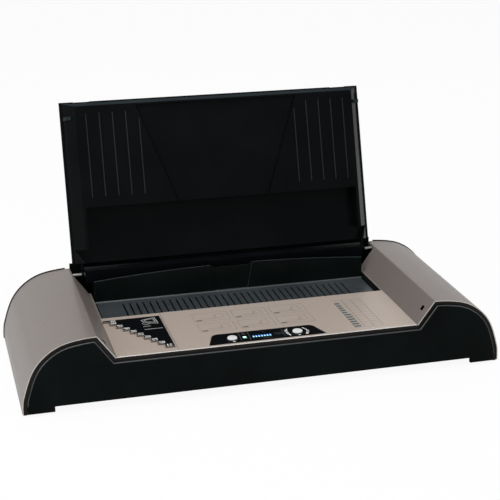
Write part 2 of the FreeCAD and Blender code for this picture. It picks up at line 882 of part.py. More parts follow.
def rear_guide():
    """Fixed back wall of the channel with a box section on top and a bearing block at each end."""
    back = channel_back_y + guide_depth
    front = box(-guide_wall_half, guide_wall_half, channel_back_y, channel_back_y + guide_wall, pan_top,
                guide_top)
    rim = box(-guide_half, guide_half, channel_back_y, back, guide_block_bottom, guide_top)
    room = box(-guide_half + guide_block_width, guide_half - guide_block_width, channel_back_y + guide_wall,
               back - guide_skin, guide_block_bottom - overrun, guide_top - guide_skin)
    rim = rim.cut(room)
    rim = rounded(rim, guide_end_radius, lambda edge: runs_along(edge, Vector(0, 0, 1)) and
                  abs(edge.CenterOfMass.x) > guide_half - fit_gap and edge.CenterOfMass.y < hinge_y)
    guide = joined([front, rim])
    for x in (-guide_half, guide_half - guide_block_width):
        guide = guide.cut(rod(x - overrun, hinge_y, hinge_z, hinge_bush_radius + bush_seat_gap,
                              guide_block_width + 2 * overrun, Vector(1, 0, 0)))
    return guide


def hinge_bush():
    """Bearing bush in the right block."""
    x = guide_half - guide_block_width
    outer = rod(x, hinge_y, hinge_z, hinge_bush_radius, guide_block_width, Vector(1, 0, 0))
    return outer.cut(rod(x - overrun, hinge_y, hinge_z, hinge_pin_radius + hinge_fit,
                         guide_block_width + 2 * overrun, Vector(1, 0, 0)))


def hinge_pin():
    """Bright pin from the right block through the lid's eye."""
    x = guide_half - guide_block_width
    return rod(x, hinge_y, hinge_z, hinge_pin_radius, hinge_pin_end - x, Vector(1, 0, 0))


# Lid

def lid_place(along, depth):
    """The (y, z) place of a point on the shut lid."""
    return hinge_y - along, lid_top - depth


def lid_body(start, top_depth, bottom_depth, inset):
    """A block with the lid's tapered sides and end between two depths, drawn in by an inset."""
    rings = []
    for depth in (top_depth, bottom_depth):
        half = lid_half - depth * side_share - inset
        y_end, z = lid_place(lid_reach - depth * end_share - inset, depth)
        y_start = lid_place(start, depth)[0]
        corners = [(-half, y_start), (half, y_start), (half, y_end), (-half, y_end), (-half, y_start)]
        rings.append(Part.makePolygon([Vector(x, y, z) for x, y in corners]))
    return Part.makeLoft(rings, True, True)


def centre_block(grow, top_depth, bottom_depth):
    """The tapered field in the middle of the lid's inner panel, grown by a margin."""
    rings = []
    for depth in (top_depth, bottom_depth):
        bevel = centre_recess_bevel * (depth - (lid_depth - centre_recess)) / centre_recess
        top_half = centre_top_half + grow + bevel
        low_half = centre_low_half + grow + bevel
        end = lid_reach - lid_end_run - lid_wall + grow
        y_end, z = lid_place(end, depth)
        y_start = lid_place(lid_tray_start - grow, depth)[0]
        corners = [(-low_half, y_start), (low_half, y_start), (top_half, y_end), (-top_half, y_end),
                   (-low_half, y_start)]
        rings.append(Part.makePolygon([Vector(x, y, z) for x, y in corners]))
    return Part.makeLoft(rings, True, True)


def clamp_pocket(wall, end, top_depth, bottom_depth):
    """The pocket in the lid's inner panel that the clamp's wall needs under the shut lid."""
    y0, z1 = lid_place(end + wall, top_depth)
    y1, z0 = lid_place(lid_tray_start, bottom_depth)
    return box(-pocket_half - wall, pocket_half + wall, y0, y1, z0, z1)


def lid_ribs():
    """Thin upright ribs on both sides of the inner panel."""
    ribs = []
    for index in range(rib_count):
        x = rib_outer_x - index * rib_spacing
        top = lid_reach - rib_end_gap
        if index == rib_count - 1:
            top = top - rib_short_gap
        y0, z1 = lid_place(top, lid_depth - rib_width)
        y1, z0 = lid_place(lid_reach - rib_end_gap - rib_length, lid_depth + rib_rise)
        rib = box(x - rib_width / 2, x + rib_width / 2, y0, y1, z0, z1)
        ribs = ribs + both(rib)
    return ribs


def lid_arm():
    """Right pivot arm: a flat bar with a round eye, joined to the cheek by a cross web."""
    y0, z1 = lid_place(arm_length, arm_top)
    y1, z0 = lid_place(arm_length - arm_root, arm_bottom)
    bar = box(arm_x_inner, arm_x_outer, y0, hinge_y, z0, z1)
    web = box(arm_x_inner, lid_half - arm_bottom * side_share - fit_gap / 2, y0, y1, z0, z1)
    eye = rod(arm_x_inner, hinge_y, hinge_z, eye_radius, arm_x_outer - arm_x_inner, Vector(1, 0, 0))
    return joined([bar, web, eye])


def lid_nub():
    """Right latch nub: a block on the outside of the lid's tapered side that dips into the slope's slot."""
    y0 = lid_place(nub_along + nub_width / 2, 0)[0]
    outline = [(lid_half - depth * side_share - lid_wall / 2, lid_top - depth)
               for depth in (nub_bottom, nub_top)]
    outline = outline + [(lid_half - nub_top * side_share, lid_top - nub_top),
                         (nub_tip_x, lid_top - nub_tip_depth), (nub_tip_x, lid_top - nub_bottom)]
    return along_y(outline, y0, y0 + nub_width)


def opened(shape):
    """Turn a piece of the shut lid to its open place."""
    return shape.rotate(Vector(0, hinge_y, hinge_z), Vector(1, 0, 0), -closing_angle)


def lid_liner():
    """Black tray of the lid with tapered sides, ribbed panel, pocket, cheeks, arms and latch nubs."""
    outer = joined([lid_body(lid_cheek_start, 0, lid_depth, 0),
                    lid_body(lid_cheek_start, 0, lid_flange_depth, -lid_flange)])
    hollow = lid_body(lid_cheek_start - overrun, -overrun, lid_depth - lid_wall, lid_wall)
    liner = outer.cut(hollow)
    grip_y = lid_place(lid_reach, 0)[0]
    grip = box(lid_half - grip_inset, lid_half - grip_inset + grip_width, grip_y - lid_flange - overrun,
               grip_y - lid_flange / 2, lid_top - lid_flange_depth - overrun, lid_top + overrun)
    liner = liner.cut(grip).cut(mirrored(grip))
    backing = centre_block(lid_wall, lid_depth - centre_recess - lid_wall, lid_depth - lid_wall / 2)
    pocket_walls = clamp_pocket(lid_wall, pocket_end, pocket_depth, lid_depth - lid_wall / 2)
    liner = joined([liner, backing, pocket_walls])
    liner = liner.cut(centre_block(0, lid_depth - centre_recess, lid_depth + overrun))
    liner = liner.cut(clamp_pocket(0, pocket_end, pocket_depth - overrun, lid_depth + overrun))
    inner_half = lid_half - lid_side_run - lid_wall
    y_tray = lid_place(lid_tray_start, 0)[0]
    liner = liner.cut(box(-inner_half, inner_half, y_tray, hinge_y, lid_top - lid_depth - overrun,
                          lid_top + overrun))
    cheek_end = lid_cheek_start - overrun
    below = lid_depth + overrun
    cheek = [lid_place(lid_tray_start, lid_cheek_upper), lid_place(lid_cheek_start, lid_cheek_lower),
             lid_place(cheek_end, lid_cheek_lower), lid_place(cheek_end, below),
             lid_place(lid_tray_start, below)]
    liner = liner.cut(along_x(cheek, -body_width, body_width))
    pieces = [liner] + lid_ribs() + both(lid_arm()) + both(lid_nub())
    liner = joined(pieces)
    for x in (-hinge_pin_end, arm_x_inner - overrun):
        liner = liner.cut(rod(x, hinge_y, hinge_z, hinge_pin_radius + bush_seat_gap,
                              hinge_pin_end - arm_x_inner + overrun, Vector(1, 0, 0)))
    for x in (-notch_x, notch_x):
        y, z = lid_place(notch_along, lid_depth + overrun)
        liner = liner.cut(rod(x, y, z, notch_radius, lid_wall + 2 * overrun, Vector(0, 0, 1)))
    return opened(liner)


def lid_shell():
    """Outer skin set into the liner's rim, arched across its width so that the clamp fits under it."""
    half = lid_half - lid_rim - fit_gap - lid_shell_thick * side_share
    y0 = lid_place(lid_reach - lid_rim - fit_gap - lid_shell_thick * end_share, 0)[0]
    y1 = lid_place(lid_shell_start, 0)[0]
    top_arc = Part.Arc(Vector(-half, y0, lid_top), Vector(0, y0, lid_top + lid_shell_crown),
                       Vector(half, y0, lid_top))
    low = lid_top - lid_shell_thick
    low_arc = Part.Arc(Vector(half, y0, low), Vector(0, y0, low + lid_shell_crown), Vector(-half, y0, low))
    edges = ([top_arc.toShape(), low_arc.toShape()] + lines([(half, lid_top), (half, low)], y0) +
             lines([(-half, low), (-half, lid_top)], y0))
    face = Part.Face(Part.Wire(Part.__sortEdges__(edges)))
    return opened(face.extrude(Vector(0, y1 - y0, 0)))


# Deck, scale and control panel

def panel_outline(grow):
    """The control panel's outline with its two rounded back corners, as a wire at height zero."""
    y0 = front_y + panel_front - grow
    y1 = front_y + panel_front + panel_depth + grow
    front = panel_front_half + grow
    back = panel_back_half + grow
    corners = [(-front, y0), (front, y0), (back, y1), (-back, y1)]
    return [(panel_centre_x + x, y) for x, y in corners]


def panel_block(grow, z0, z1):
    """A solid with the control panel's outline."""
    block = along_z(panel_outline(grow), z0, z1)
    middle = front_y + panel_front + panel_depth / 2
    return rounded(block, panel_corner + grow, lambda edge: runs_along(edge, Vector(0, 0, 1)) and
                   edge.CenterOfMass.y > middle)


def light_places():
    """Centres and widths of the lights: the ready light and the row of progress lights."""
    places = [(ready_x, ready_width)]
    for index in range(light_count):
        places.append((light_first_x + index * light_pitch, light_width))
    return places


def button_places():
    """Centres of the two buttons."""
    return [(button_left_x, button_y), (button_right_x, button_y)]


def panel_holes(extra, z0, z1):
    """Holes for the buttons and the lights between two heights."""
    radius = button_radius + button_gap + extra
    holes = [rod(x, y, z0, radius, z1 - z0, Vector(0, 0, 1)) for x, y in button_places()]
    for x, width in light_places():
        half = width / 2 + light_gap + extra
        length = light_length / 2 + light_gap + extra
        holes.append(box(x - half, x + half, light_y - length, light_y + length, z0, z1))
    return holes


def board_post_places():
    """Centres of the posts that hold the control board under the deck."""
    xs = (board_left + board_post_inset, board_right - board_post_inset)
    ys = (board_front_y + board_post_inset, board_back_y - board_post_inset)
    return [(x, y) for x in xs for y in ys]


def deck_slab(x0, x1, side_x):
    """Silver plate with a thin lip over the black front and a rib on the wing's step beside it."""
    slab = box(x0, x1, front_y + deck_set_back, opening_y, deck_floor, deck_height)
    under = box(x0 - overrun, x1 + overrun, front_y, pan_front_y + fit_gap, deck_floor - overrun,
                deck_height - edge_wall)
    rib = box(min(side_x, math.copysign(deck_half, side_x)), max(side_x, math.copysign(deck_half, side_x)),
              pan_front_y + fit_gap, opening_y, step_top, deck_floor + overrun)
    return joined([slab.cut(under), rib])


def deck_plate():
    """Silver deck between the wings, with the sunk panel seat and the posts for the control board."""
    side = deck_side - fit_gap
    deck = deck_slab(scale_right, side, side)
    deck = deck.cut(panel_block(fit_gap, panel_seat, deck_height + overrun))
    posts = [rod(x, y, board_top, board_post_radius, board_drop, Vector(0, 0, 1))
             for x, y in board_post_places()]
    deck = joined([deck] + posts)
    for hole in panel_holes(0, deck_floor - overrun, deck_height + overrun):
        deck = deck.cut(hole)
    for x, y in board_post_places():
        deck = deck.cut(rod(x, y, board_top - overrun, screw_radius + screw_fit, board_drop, Vector(0, 0, 1)))
    return deck


def control_panel():
    """Black cover plate of the control panel."""
    panel = panel_block(0, panel_seat, deck_height + panel_proud)
    for hole in panel_holes(0, panel_seat - overrun, deck_height + overrun):
        panel = panel.cut(hole)
    return panel


def scale_outline(inset):
    """The scale's outline, moved inwards by an inset, whose edge steps down towards the front."""
    right = scale_block_right - inset
    top = opening_y - scale_block_top - inset
    outline = [(right, top), (scale_left + inset, top)]
    x = scale_left + inset
    y = opening_y - scale_block_top - scale_first_depth + inset
    for index in range(scale_steps - 1):
        outline.append((x, y))
        x = scale_left + scale_first_width + index * scale_step_x + inset
        outline.append((x, y))
        y = y - scale_step_y
    return outline + [(x, y), (right, y)]


def gauge_plate():
    """Silver insert of the thickness scale with a raised stepped block and a lip under the deck plate."""
    right = scale_right - fit_gap
    plate = deck_slab(scale_left, right, scale_left)
    block = along_z(scale_outline(0), deck_floor + overrun, deck_height + scale_block_rise)
    lip = box(right - ledge_reach, scale_right + scale_lip, pan_front_y + fit_gap, opening_y, step_bottom,
              deck_floor)
    return joined([plate, block, lip])


def gauge_label():
    """Black scale plate on the stepped block."""
    low = deck_height + scale_block_rise
    return along_z(scale_outline(scale_label_inset), low, low + scale_label_thick)


def button(x, y):
    """Round button with a flange that keeps it under the deck and a stem towards its dome."""
    top = deck_height + button_rise
    flange_top = deck_floor - fit_gap
    cap = rod(x, y, flange_top - overrun, button_radius, top - flange_top + overrun, Vector(0, 0, 1))
    cap = rounded(cap, button_rise / 2, lambda edge: edge.CenterOfMass.z > top - fit_gap)
    flange = rod(x, y, flange_top - button_flange, button_flange_radius, button_flange, Vector(0, 0, 1))
    stem_low = board_top + button_travel + dome_rest
    stem = rod(x, y, stem_low, button_stem_radius, flange_top - stem_low, Vector(0, 0, 1))
    return joined([cap, flange, stem])


def button_dome(x, y):
    """Rubber dome between the board and the button's stem."""
    height = button_travel + dome_rest
    return Part.makeCone(dome_radius, button_stem_radius, height, Vector(x, y, board_top), Vector(0, 0, 1))


def light_guides():
    """Clear bars that carry the light from the board up through the panel."""
    z0 = board_top + led_height
    z1 = deck_height + panel_proud
    guides = []
    for x, width in light_places():
        guides.append(box(x - width / 2, x + width / 2,
                          light_y - light_length / 2, light_y + light_length / 2, z0, z1))
    return group(guides)


def board_leds():
    """Light sources on the board, one under each clear bar."""
    leds = []
    for x, width in light_places():
        half = width / 2 - light_gap
        leds.append(box(x - half, x + half, light_y - half, light_y + half, board_top,
                        board_top + led_height))
    return group(leds)


def control_board():
    """Circuit board held under the deck by four screws."""
    board = box(board_left, board_right, board_front_y, board_back_y, board_bottom, board_top)
    for x, y in board_post_places():
        board = board.cut(rod(x, y, board_bottom - overrun, screw_radius + screw_fit,
                              board_thick + 2 * overrun, Vector(0, 0, 1)))
    return board


def board_screws():
    """Screws that hold the control board."""
    return group([screw(x, y, board_bottom, board_drop, Vector(0, 0, 1))
                  for x, y in board_post_places()])


def buzzer():
    """Round buzzer under the control board."""
    y = board_back_y - buzzer_drop
    return rod(buzzer_x, y, board_bottom - buzzer_height, buzzer_radius, buzzer_height, Vector(0, 0, 1))


# Power parts in the right wing

def lead_z():
    """Height of the heater leads, level with the heating element."""
    return insulation_z + element_thick / 2


def power_board():
    """Circuit board of the power supply."""
    return box(power_left, power_left + power_width, power_front_y, power_front_y + power_depth,
               power_bottom, power_top)


def board_pillars():
    """Pillars between the pan and the power board."""
    xs = (power_left + pillar_inset, power_left + power_width - pillar_inset)
    ys = (power_front_y + 3 * pillar_inset, power_front_y + power_depth - pillar_inset)
    return group([rod(x, y, pan_top, pillar_radius, power_bottom - pan_top, Vector(0, 0, 1))
                  for x in xs for y in ys])


def power_middle():
    """Middle of the power board from left to right."""
    return power_left + power_width / 2


def transformer():
    """Transformer with its iron core around the winding block."""
    x = power_middle()
    half_x = transformer_width / 2
    half_y = transformer_depth / 2
    core = box(x - half_x, x + half_x, transformer_y - core_band, transformer_y + core_band, power_top,
               power_top + transformer_height)
    winding = box(x - half_x + core_lip, x + half_x - core_lip,
                  transformer_y - half_y, transformer_y + half_y,
                  power_top, power_top + transformer_height - core_lip)
    return joined([core, winding])


def block_on_board(x, y, width, depth, height):
    """A plain component standing on the power board."""
    return box(x - width / 2, x + width / 2, y - depth / 2, y + depth / 2, power_top, power_top + height)


def terminal_blocks():
    """Terminals for the heater leads and the mains leads."""
    heater = block_on_board(power_left + terminal_width / 2, terminal_y, terminal_width, terminal_depth,
                            terminal_height)
    mains = block_on_board(inlet_x, terminal_y, terminal_depth, terminal_width,
                           terminal_height + terminal_width)
    return group([heater, mains])


def heater_leads():
    """Two leads from the heating element to the power board."""
    leads = []
    for side in (-1, 1):
        y = terminal_y + side * lead_spacing / 2
        leads.append(rod(skirt_half, y, lead_z(), lead_radius, power_left - skirt_half, Vector(1, 0, 0)))
    return group(leads)


def inlet_leads():
    """Two leads from the appliance inlet to the power board."""
    y0 = terminal_y + terminal_width / 2
    y1 = rear_y + rim_thick - inlet_body_depth
    z = power_top + terminal_height + terminal_width / 2
    return group([rod(inlet_x + side * lead_spacing / 2, y0, z, lead_radius, y1 - y0, Vector(0, 1, 0))
                  for side in (-1, 1)])


def appliance_inlet():
    """Mains inlet: a body through the rear panel with a flange outside and a shaped mouth."""
    y1 = rear_y + rim_thick
    body = box(inlet_x - inlet_body_width / 2, inlet_x + inlet_body_width / 2, y1 - inlet_body_depth,
               y1 + inlet_flange, inlet_z - inlet_body_height / 2, inlet_z + inlet_body_height / 2)
    flange = box(inlet_x - inlet_flange_width / 2, inlet_x + inlet_flange_width / 2, y1, y1 + inlet_flange,
                 inlet_z - inlet_flange_height / 2, inlet_z + inlet_flange_height / 2)
    flange = rounded(flange, inlet_corner, lambda edge: runs_along(edge, Vector(0, 1, 0)))
    half = inlet_mouth_width / 2
    low = inlet_z - inlet_mouth_height / 2
    high = inlet_z + inlet_mouth_height / 2
    mouth = along_y([(inlet_x - half, low), (inlet_x + half, low), (inlet_x + half, high - inlet_corner),
                     (inlet_x + half - inlet_corner, high), (inlet_x - half + inlet_corner, high),
                     (inlet_x - half, high - inlet_corner)], y1 + inlet_flange - inlet_mouth_depth,
                    y1 + inlet_flange + overrun)
    inlet = joined([body, flange]).cut(mouth)
    for side in (-1, 1):
        inlet = inlet.cut(rod(inlet_x + side * inlet_screw_spacing, y1 - overrun, inlet_z,
                              screw_radius + screw_fit, inlet_flange + 2 * overrun, Vector(0, 1, 0)))
    return inlet


def inlet_pins():
    """Three flat pins inside the inlet's mouth."""
    y0 = rear_y + rim_thick + inlet_flange - inlet_mouth_depth
    pins = []
    half_x = inlet_pin_thick / 2
    half_z = inlet_pin_width / 2
    for dx, dz in ((-inlet_pin_spacing, -inlet_pin_drop), (inlet_pin_spacing, -inlet_pin_drop),
                   (0, inlet_earth_rise)):
        x = inlet_x + dx
        z = inlet_z + dz
        pins.append(box(x - half_x, x + half_x, y0, y0 + inlet_pin_reach, z - half_z, z + half_z))
    return group(pins)


def inlet_screws():
    """Screws through the inlet's flange into the rear panel."""
    y = rear_y + rim_thick + inlet_flange
    return group([screw(inlet_x + side * inlet_screw_spacing, y, inlet_z, inlet_flange + rim_thick,
                        Vector(0, -1, 0)) for side in (-1, 1)])


def ribbon_cable():
    """Flat cable from the control board down to the power board."""
    z = board_bottom - ribbon_thick
    low = power_bottom - ribbon_thick
    y0 = power_front_y + fit_gap
    start = board_right - board_post_inset + screw_head_radius + fit_gap
    turn = power_left - ribbon_lead
    end = power_left + ribbon_bend + board_post_inset
    outline = [(start, z + ribbon_thick), (turn, z + ribbon_thick), (turn + z - low, low + ribbon_thick),
               (end, low + ribbon_thick), (end, low), (turn + z - low - ribbon_thick / 2, low),
               (turn - ribbon_thick / 2, z), (start, z)]
    return along_y(outline, y0, y0 + ribbon_width)


def relay():
    """Relay that switches the heating element."""
    return block_on_board(power_middle(), relay_y, relay_width, relay_depth, relay_height)


def capacitor():
    """Smoothing capacitor standing on the power board."""
    return rod(power_middle(), capacitor_y, power_top, capacitor_radius, capacitor_height, Vector(0, 0, 1))


# Every node with its shape

def nodes():
    """All nodes by name, drawn about the middle of the body."""
    right_wing = wing_cover()
    left_button, right_button = button_places()
    return {
        "base_pan": base_pan(),
        "rubber_feet": rubber_feet(),
        "base_screws": base_screws(),
        "left_wing_cover": mirrored(right_wing),
        "right_wing_cover": right_wing,
        "latch_catches": group(both(latch_catch())),
        "front_fascia": front_fascia(),
        "rear_panel": rear_panel(),
        "deck_plate": deck_plate(),
        "gauge_plate": gauge_plate(),
        "gauge_label": gauge_label(),
        "control_panel": control_panel(),
        "power_button": button(*left_button),
        "select_button": button(*right_button),
        "power_dome": button_dome(*left_button),
        "select_dome": button_dome(*right_button),
        "light_guides": light_guides(),
        "board_leds": board_leds(),
        "control_board": control_board(),
        "board_screws": board_screws(),
        "buzzer": buzzer(),
        "channel_frame": channel_frame(),
        "heater_plate": heater_plate(),
        "heating_element": heating_element(),
        "insulation_pad": insulation_pad(),
        "heater_tray": heater_tray(),
        "heater_standoffs": heater_standoffs(),
        "thermostat": thermostat(),
        "thermal_fuse": thermal_fuse(),
        "heater_leads": heater_leads(),
        "clamp_carriage": clamp_carriage(),
        "clamp_liner": clamp_liner(),
        "guide_bushes": guide_bushes(),
        "guide_rods": guide_rods(),
        "rod_holders": rod_holders(),
        "rear_guide": rear_guide(),
        "hinge_bushes": group(both(hinge_bush())),
        "hinge_pins": group(both(hinge_pin())),
        "lid_liner": lid_liner(),
        "lid_shell": lid_shell(),
        "power_board": power_board(),
        "board_pillars": board_pillars(),
        "transformer": transformer(),
        "relay": relay(),
        "capacitor": capacitor(),
        "terminal_blocks": terminal_blocks(),
        "appliance_inlet": appliance_inlet(),
        "inlet_pins": inlet_pins(),
        "inlet_screws": inlet_screws(),
        "inlet_leads": inlet_leads(),
        "ribbon_cable": ribbon_cable(),
    }


def main():
    """Build every node, centre the whole on its bounding box and write the files."""
    os.makedirs("parts", exist_ok=True)
    shapes = nodes()
    whole = Part.makeCompound(list(shapes.values())).optimalBoundingBox(False, False)
    shift = Vector(0, -(whole.YMin + whole.YMax) / 2, 0)
    print("shift along Y %.4f, height %.4f, half width %.4f" % (shift.y, whole.ZMax, whole.XMax))
    for name, shape in shapes.items():
        shape.translate(shift)
        if not shape.isValid():
            print("not valid:", name)
        shape.exportStep("parts/%s.step" % name)
    print(len(shapes), "nodes written")


main()
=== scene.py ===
import json
import math

import bmesh
import bpy
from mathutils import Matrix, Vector

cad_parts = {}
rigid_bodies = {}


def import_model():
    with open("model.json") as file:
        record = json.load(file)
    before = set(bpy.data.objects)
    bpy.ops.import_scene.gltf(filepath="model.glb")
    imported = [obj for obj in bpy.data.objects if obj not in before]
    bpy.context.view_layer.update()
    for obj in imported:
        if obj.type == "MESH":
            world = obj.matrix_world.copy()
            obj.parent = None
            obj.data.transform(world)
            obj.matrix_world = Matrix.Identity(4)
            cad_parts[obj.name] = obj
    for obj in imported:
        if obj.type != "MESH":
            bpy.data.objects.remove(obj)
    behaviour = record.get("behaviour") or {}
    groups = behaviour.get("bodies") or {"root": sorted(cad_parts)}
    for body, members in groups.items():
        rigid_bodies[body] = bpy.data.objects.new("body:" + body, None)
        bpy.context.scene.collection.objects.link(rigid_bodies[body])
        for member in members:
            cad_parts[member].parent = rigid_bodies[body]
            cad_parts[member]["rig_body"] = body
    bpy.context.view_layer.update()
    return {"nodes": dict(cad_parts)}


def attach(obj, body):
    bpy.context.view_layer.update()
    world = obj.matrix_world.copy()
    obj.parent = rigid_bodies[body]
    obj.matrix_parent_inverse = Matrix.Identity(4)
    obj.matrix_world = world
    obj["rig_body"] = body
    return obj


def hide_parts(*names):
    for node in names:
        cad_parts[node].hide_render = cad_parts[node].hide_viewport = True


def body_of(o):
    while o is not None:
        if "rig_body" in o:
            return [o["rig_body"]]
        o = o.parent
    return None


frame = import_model()

# Thermal binding machine. The face tests and the printed marks are in millimetres of the part's
# drawing, whose origin stands at Y = SHIFT_Y in the frame, in front of its middle.
MM = 0.001
SHIFT_Y = -26.6261
FRONT_Y = -104.0
OPENING_Y = 4.0
DECK_Z = 55.5
PANEL_Z = 55.7
LABEL_Z = 57.5
PRINT_LIFT = 0.03

# Texture scales in features per metre, relief depths in metres and the gloss of a clear coat
CLOUD_SCALE = 18
GLOSS_SCALE = 60
PAINT_GLOSS_SCALE = 40
FLAKE_SCALE = 2600
INK_SCALE = 500
MOULD_DEPTH = 0.0002
GRAIN_DEPTH = 0.0001
PLASTIC_COAT_ROUGH = 0.05


def at(x, y, z):
    """A drawing point in millimetres as a frame point in metres."""
    return Vector((x * MM, (y + SHIFT_Y) * MM, z * MM))


# Material helpers

def new_material(name):
    """A node material with its node tree and its shader."""
    mat = bpy.data.materials.new(name)
    mat.use_nodes = True
    tree = mat.node_tree
    return mat, tree, tree.nodes["Principled BSDF"]


def node(tree, kind, **values):
    """A shader node with its settings and inputs filled in."""
    made = tree.nodes.new(kind)
    for key, value in values.items():
        if key in made.inputs:
            made.inputs[key].default_value = value
        else:
            setattr(made, key, value)
    return made


def fill(shader, values):
    """Plain values for the sockets of a shader."""
    for key, value in values.items():
        shader.inputs[key].default_value = value


def coords(tree):
    """Object coordinates, which are frame metres on every piece."""
    return node(tree, "ShaderNodeTexCoord").outputs["Object"]


def noise(tree, scale, detail=2.0, rough=0.5, vector=None):
    """Fractal noise in object space."""
    tex = node(tree, "ShaderNodeTexNoise", Scale=scale, Detail=detail, Roughness=rough)
    tree.links.new(vector or coords(tree), tex.inputs["Vector"])
    return tex.outputs["Fac"]


def ramp(tree, fac, low, high, start=0.3, end=0.7):
    """A two colour ramp driven by a factor."""
    made = node(tree, "ShaderNodeValToRGB")
    first, last = made.color_ramp.elements
    first.position, last.position = start, end
    first.color, last.color = (*low, 1), (*high, 1)
    tree.links.new(fac, made.inputs["Fac"])
    return made.outputs["Color"]


def span(tree, fac, low, high, start=0.0, end=1.0):
    """A value that goes from low to high as a factor goes from start to end."""
    made = node(tree, "ShaderNodeMapRange")
    fill(made, {"From Min": start, "From Max": end, "To Min": low, "To Max": high})
    tree.links.new(fac, made.inputs["Value"])
    return made.outputs["Result"]


def maths(tree, operation, first, second):
    """A math node of two values or links."""
    made = node(tree, "ShaderNodeMath", operation=operation)
    for socket, value in zip(made.inputs, (first, second)):
        if isinstance(value, (int, float)):
            socket.default_value = value
        else:
            tree.links.new(value, socket)
    return made.outputs["Value"]


def bump(tree, shader, height, strength, distance):
    """Fine relief on a shader's normal."""
    made = node(tree, "ShaderNodeBump", Strength=strength, Distance=distance)
    tree.links.new(height, made.inputs["Height"])
    tree.links.new(made.outputs["Normal"], shader.inputs["Normal"])


def plastic(name, low, high, rough, grain=900, relief=0.05, level=0.5, coat=0.0, spread=0.04):
    """Moulded plastic: slightly uneven colour and gloss with a fine moulding grain."""
    mat, tree, shader = new_material(name)
    cloud = noise(tree, CLOUD_SCALE, detail=3)
    tree.links.new(ramp(tree, cloud, low, high), shader.inputs["Base Color"])
    patches = noise(tree, GLOSS_SCALE, detail=4, rough=0.6)
    gloss = span(tree, patches, rough - spread, rough + spread)
    tree.links.new(gloss, shader.inputs["Roughness"])
    fill(shader, {"Specular IOR Level": level, "Coat Weight": coat,
                  "Coat Roughness": PLASTIC_COAT_ROUGH})
    bump(tree, shader, noise(tree, grain), relief, MOULD_DEPTH)
    return mat


def metal(name, low, high, rough, grain=(40, 40, 1400), relief=0.06, spread=0.06):
    """Bare or plated metal with a drawn grain."""
    mat, tree, shader = new_material(name)
    mapping = node(tree, "ShaderNodeMapping", Scale=grain)
    tree.links.new(coords(tree), mapping.inputs["Vector"])
    lines = noise(tree, 1.0, detail=3, rough=0.6, vector=mapping.outputs["Vector"])
    tree.links.new(ramp(tree, lines, low, high), shader.inputs["Base Color"])
    tree.links.new(span(tree, lines, rough - spread, rough + spread), shader.inputs["Roughness"])
    fill(shader, {"Metallic": 1.0})
    bump(tree, shader, lines, relief, GRAIN_DEPTH)
    return mat


def paint(name, low, high, rough, metallic=0.12, coat=0.2, coat_rough=0.1, level=0.15,
          relief=0.04, spread=0.03):
    """Silver paint: fine flakes under a clear coat."""
    mat, tree, shader = new_material(name)
    cell = node(tree, "ShaderNodeTexVoronoi", Scale=FLAKE_SCALE)
    tree.links.new(coords(tree), cell.inputs["Vector"])
    flakes = node(tree, "ShaderNodeSeparateColor")
    tree.links.new(cell.outputs["Color"], flakes.inputs["Color"])
    colour = ramp(tree, flakes.outputs["Red"], low, high, 0.0, 1.0)
    tree.links.new(colour, shader.inputs["Base Color"])
    patches = noise(tree, PAINT_GLOSS_SCALE, detail=4, rough=0.6)
    gloss = span(tree, patches, rough - spread, rough + spread)
    tree.links.new(gloss, shader.inputs["Roughness"])
    fill(shader, {"Metallic": metallic, "Specular IOR Level": level, "Coat Weight": coat,
                  "Coat Roughness": coat_rough})
    bump(tree, shader, flakes.outputs["Green"], relief, GRAIN_DEPTH)
    return mat


def ink(name, colour, shade=0.85):
    """Printed ink with a slightly broken tone."""
    mat, tree, shader = new_material(name)
    dark = tuple(shade * value for value in colour)
    tone = ramp(tree, noise(tree, INK_SCALE, detail=3), dark, colour)
    tree.links.new(tone, shader.inputs["Base Color"])
    fill(shader, {"Roughness": 0.5, "Specular IOR Level": 0.2})
    return mat


# Materials. Each has two colours that its texture mixes, then its roughness; a plastic then has its
# grain, relief, specular level, coat and spread of gloss, and a paint its metallic share and coat.

SILVER = paint("silver_paint", (0.182, 0.158, 0.146), (0.242, 0.212, 0.198), 0.42)
DECK_SILVER = paint("deck_silver", (0.46, 0.387, 0.338), (0.54, 0.457, 0.400), 0.36,
                    metallic=0.1, coat=0.1, coat_rough=0.07, level=0.08)
# Painted highlight: a near-white silver for the front ends of the deck and the scale plate and for
# the deck's side of the seam
EDGE_HIGHLIGHT = paint("edge_highlight_silver", (0.86, 0.83, 0.80), (0.94, 0.92, 0.89), 0.25, metallic=0.2)
# Painted highlight: a lighter silver for the front ends of the wing covers
WING_EDGE_HIGHLIGHT = paint("wing_edge_highlight", (0.52, 0.49, 0.455), (0.62, 0.585, 0.55), 0.3, metallic=0.2)
# Painted shade: a darker, browner silver for the upright faces of the scale's steps
STEP_SHADE = paint("step_painted_shade", (0.13, 0.105, 0.085), (0.18, 0.148, 0.120), 0.40)
GLOSS = plastic("gloss_black", (0.0030, 0.0040, 0.0042), (0.0048, 0.0068, 0.0066),
                0.16, 300, 0.02, 0.03, 0.0, 0.03)
# Painted highlight: a lighter black, with more specular, for the rounded edge of the fascia's face
RIDGE_HIGHLIGHT = plastic("ridge_highlight", (0.030, 0.034, 0.036), (0.040, 0.045, 0.047),
                0.22, 300, 0.02, 0.4, 0.0, 0.03)
# Painted reflection: a brownish black for the fascia's set-back ring
RING_REFLECTION = plastic("ring_painted_reflection", (0.007, 0.0055, 0.0045), (0.015, 0.011, 0.009), 0.30, 500, 0.05, 0.15)
LID_BLACK = plastic("lid_black", (0.0020, 0.0026, 0.0030), (0.0038, 0.0046, 0.0050),
                    0.20, 500, 0.03, 0.03, 0.0, 0.03)
# Painted reflection: a grey-blue black, without specular, for the rim along the open lid's top
LID_RIM_REFLECTION = plastic("lid_rim_reflection", (0.022, 0.029, 0.032), (0.030, 0.039, 0.043), 0.40, 500, 0.03, 0.0)
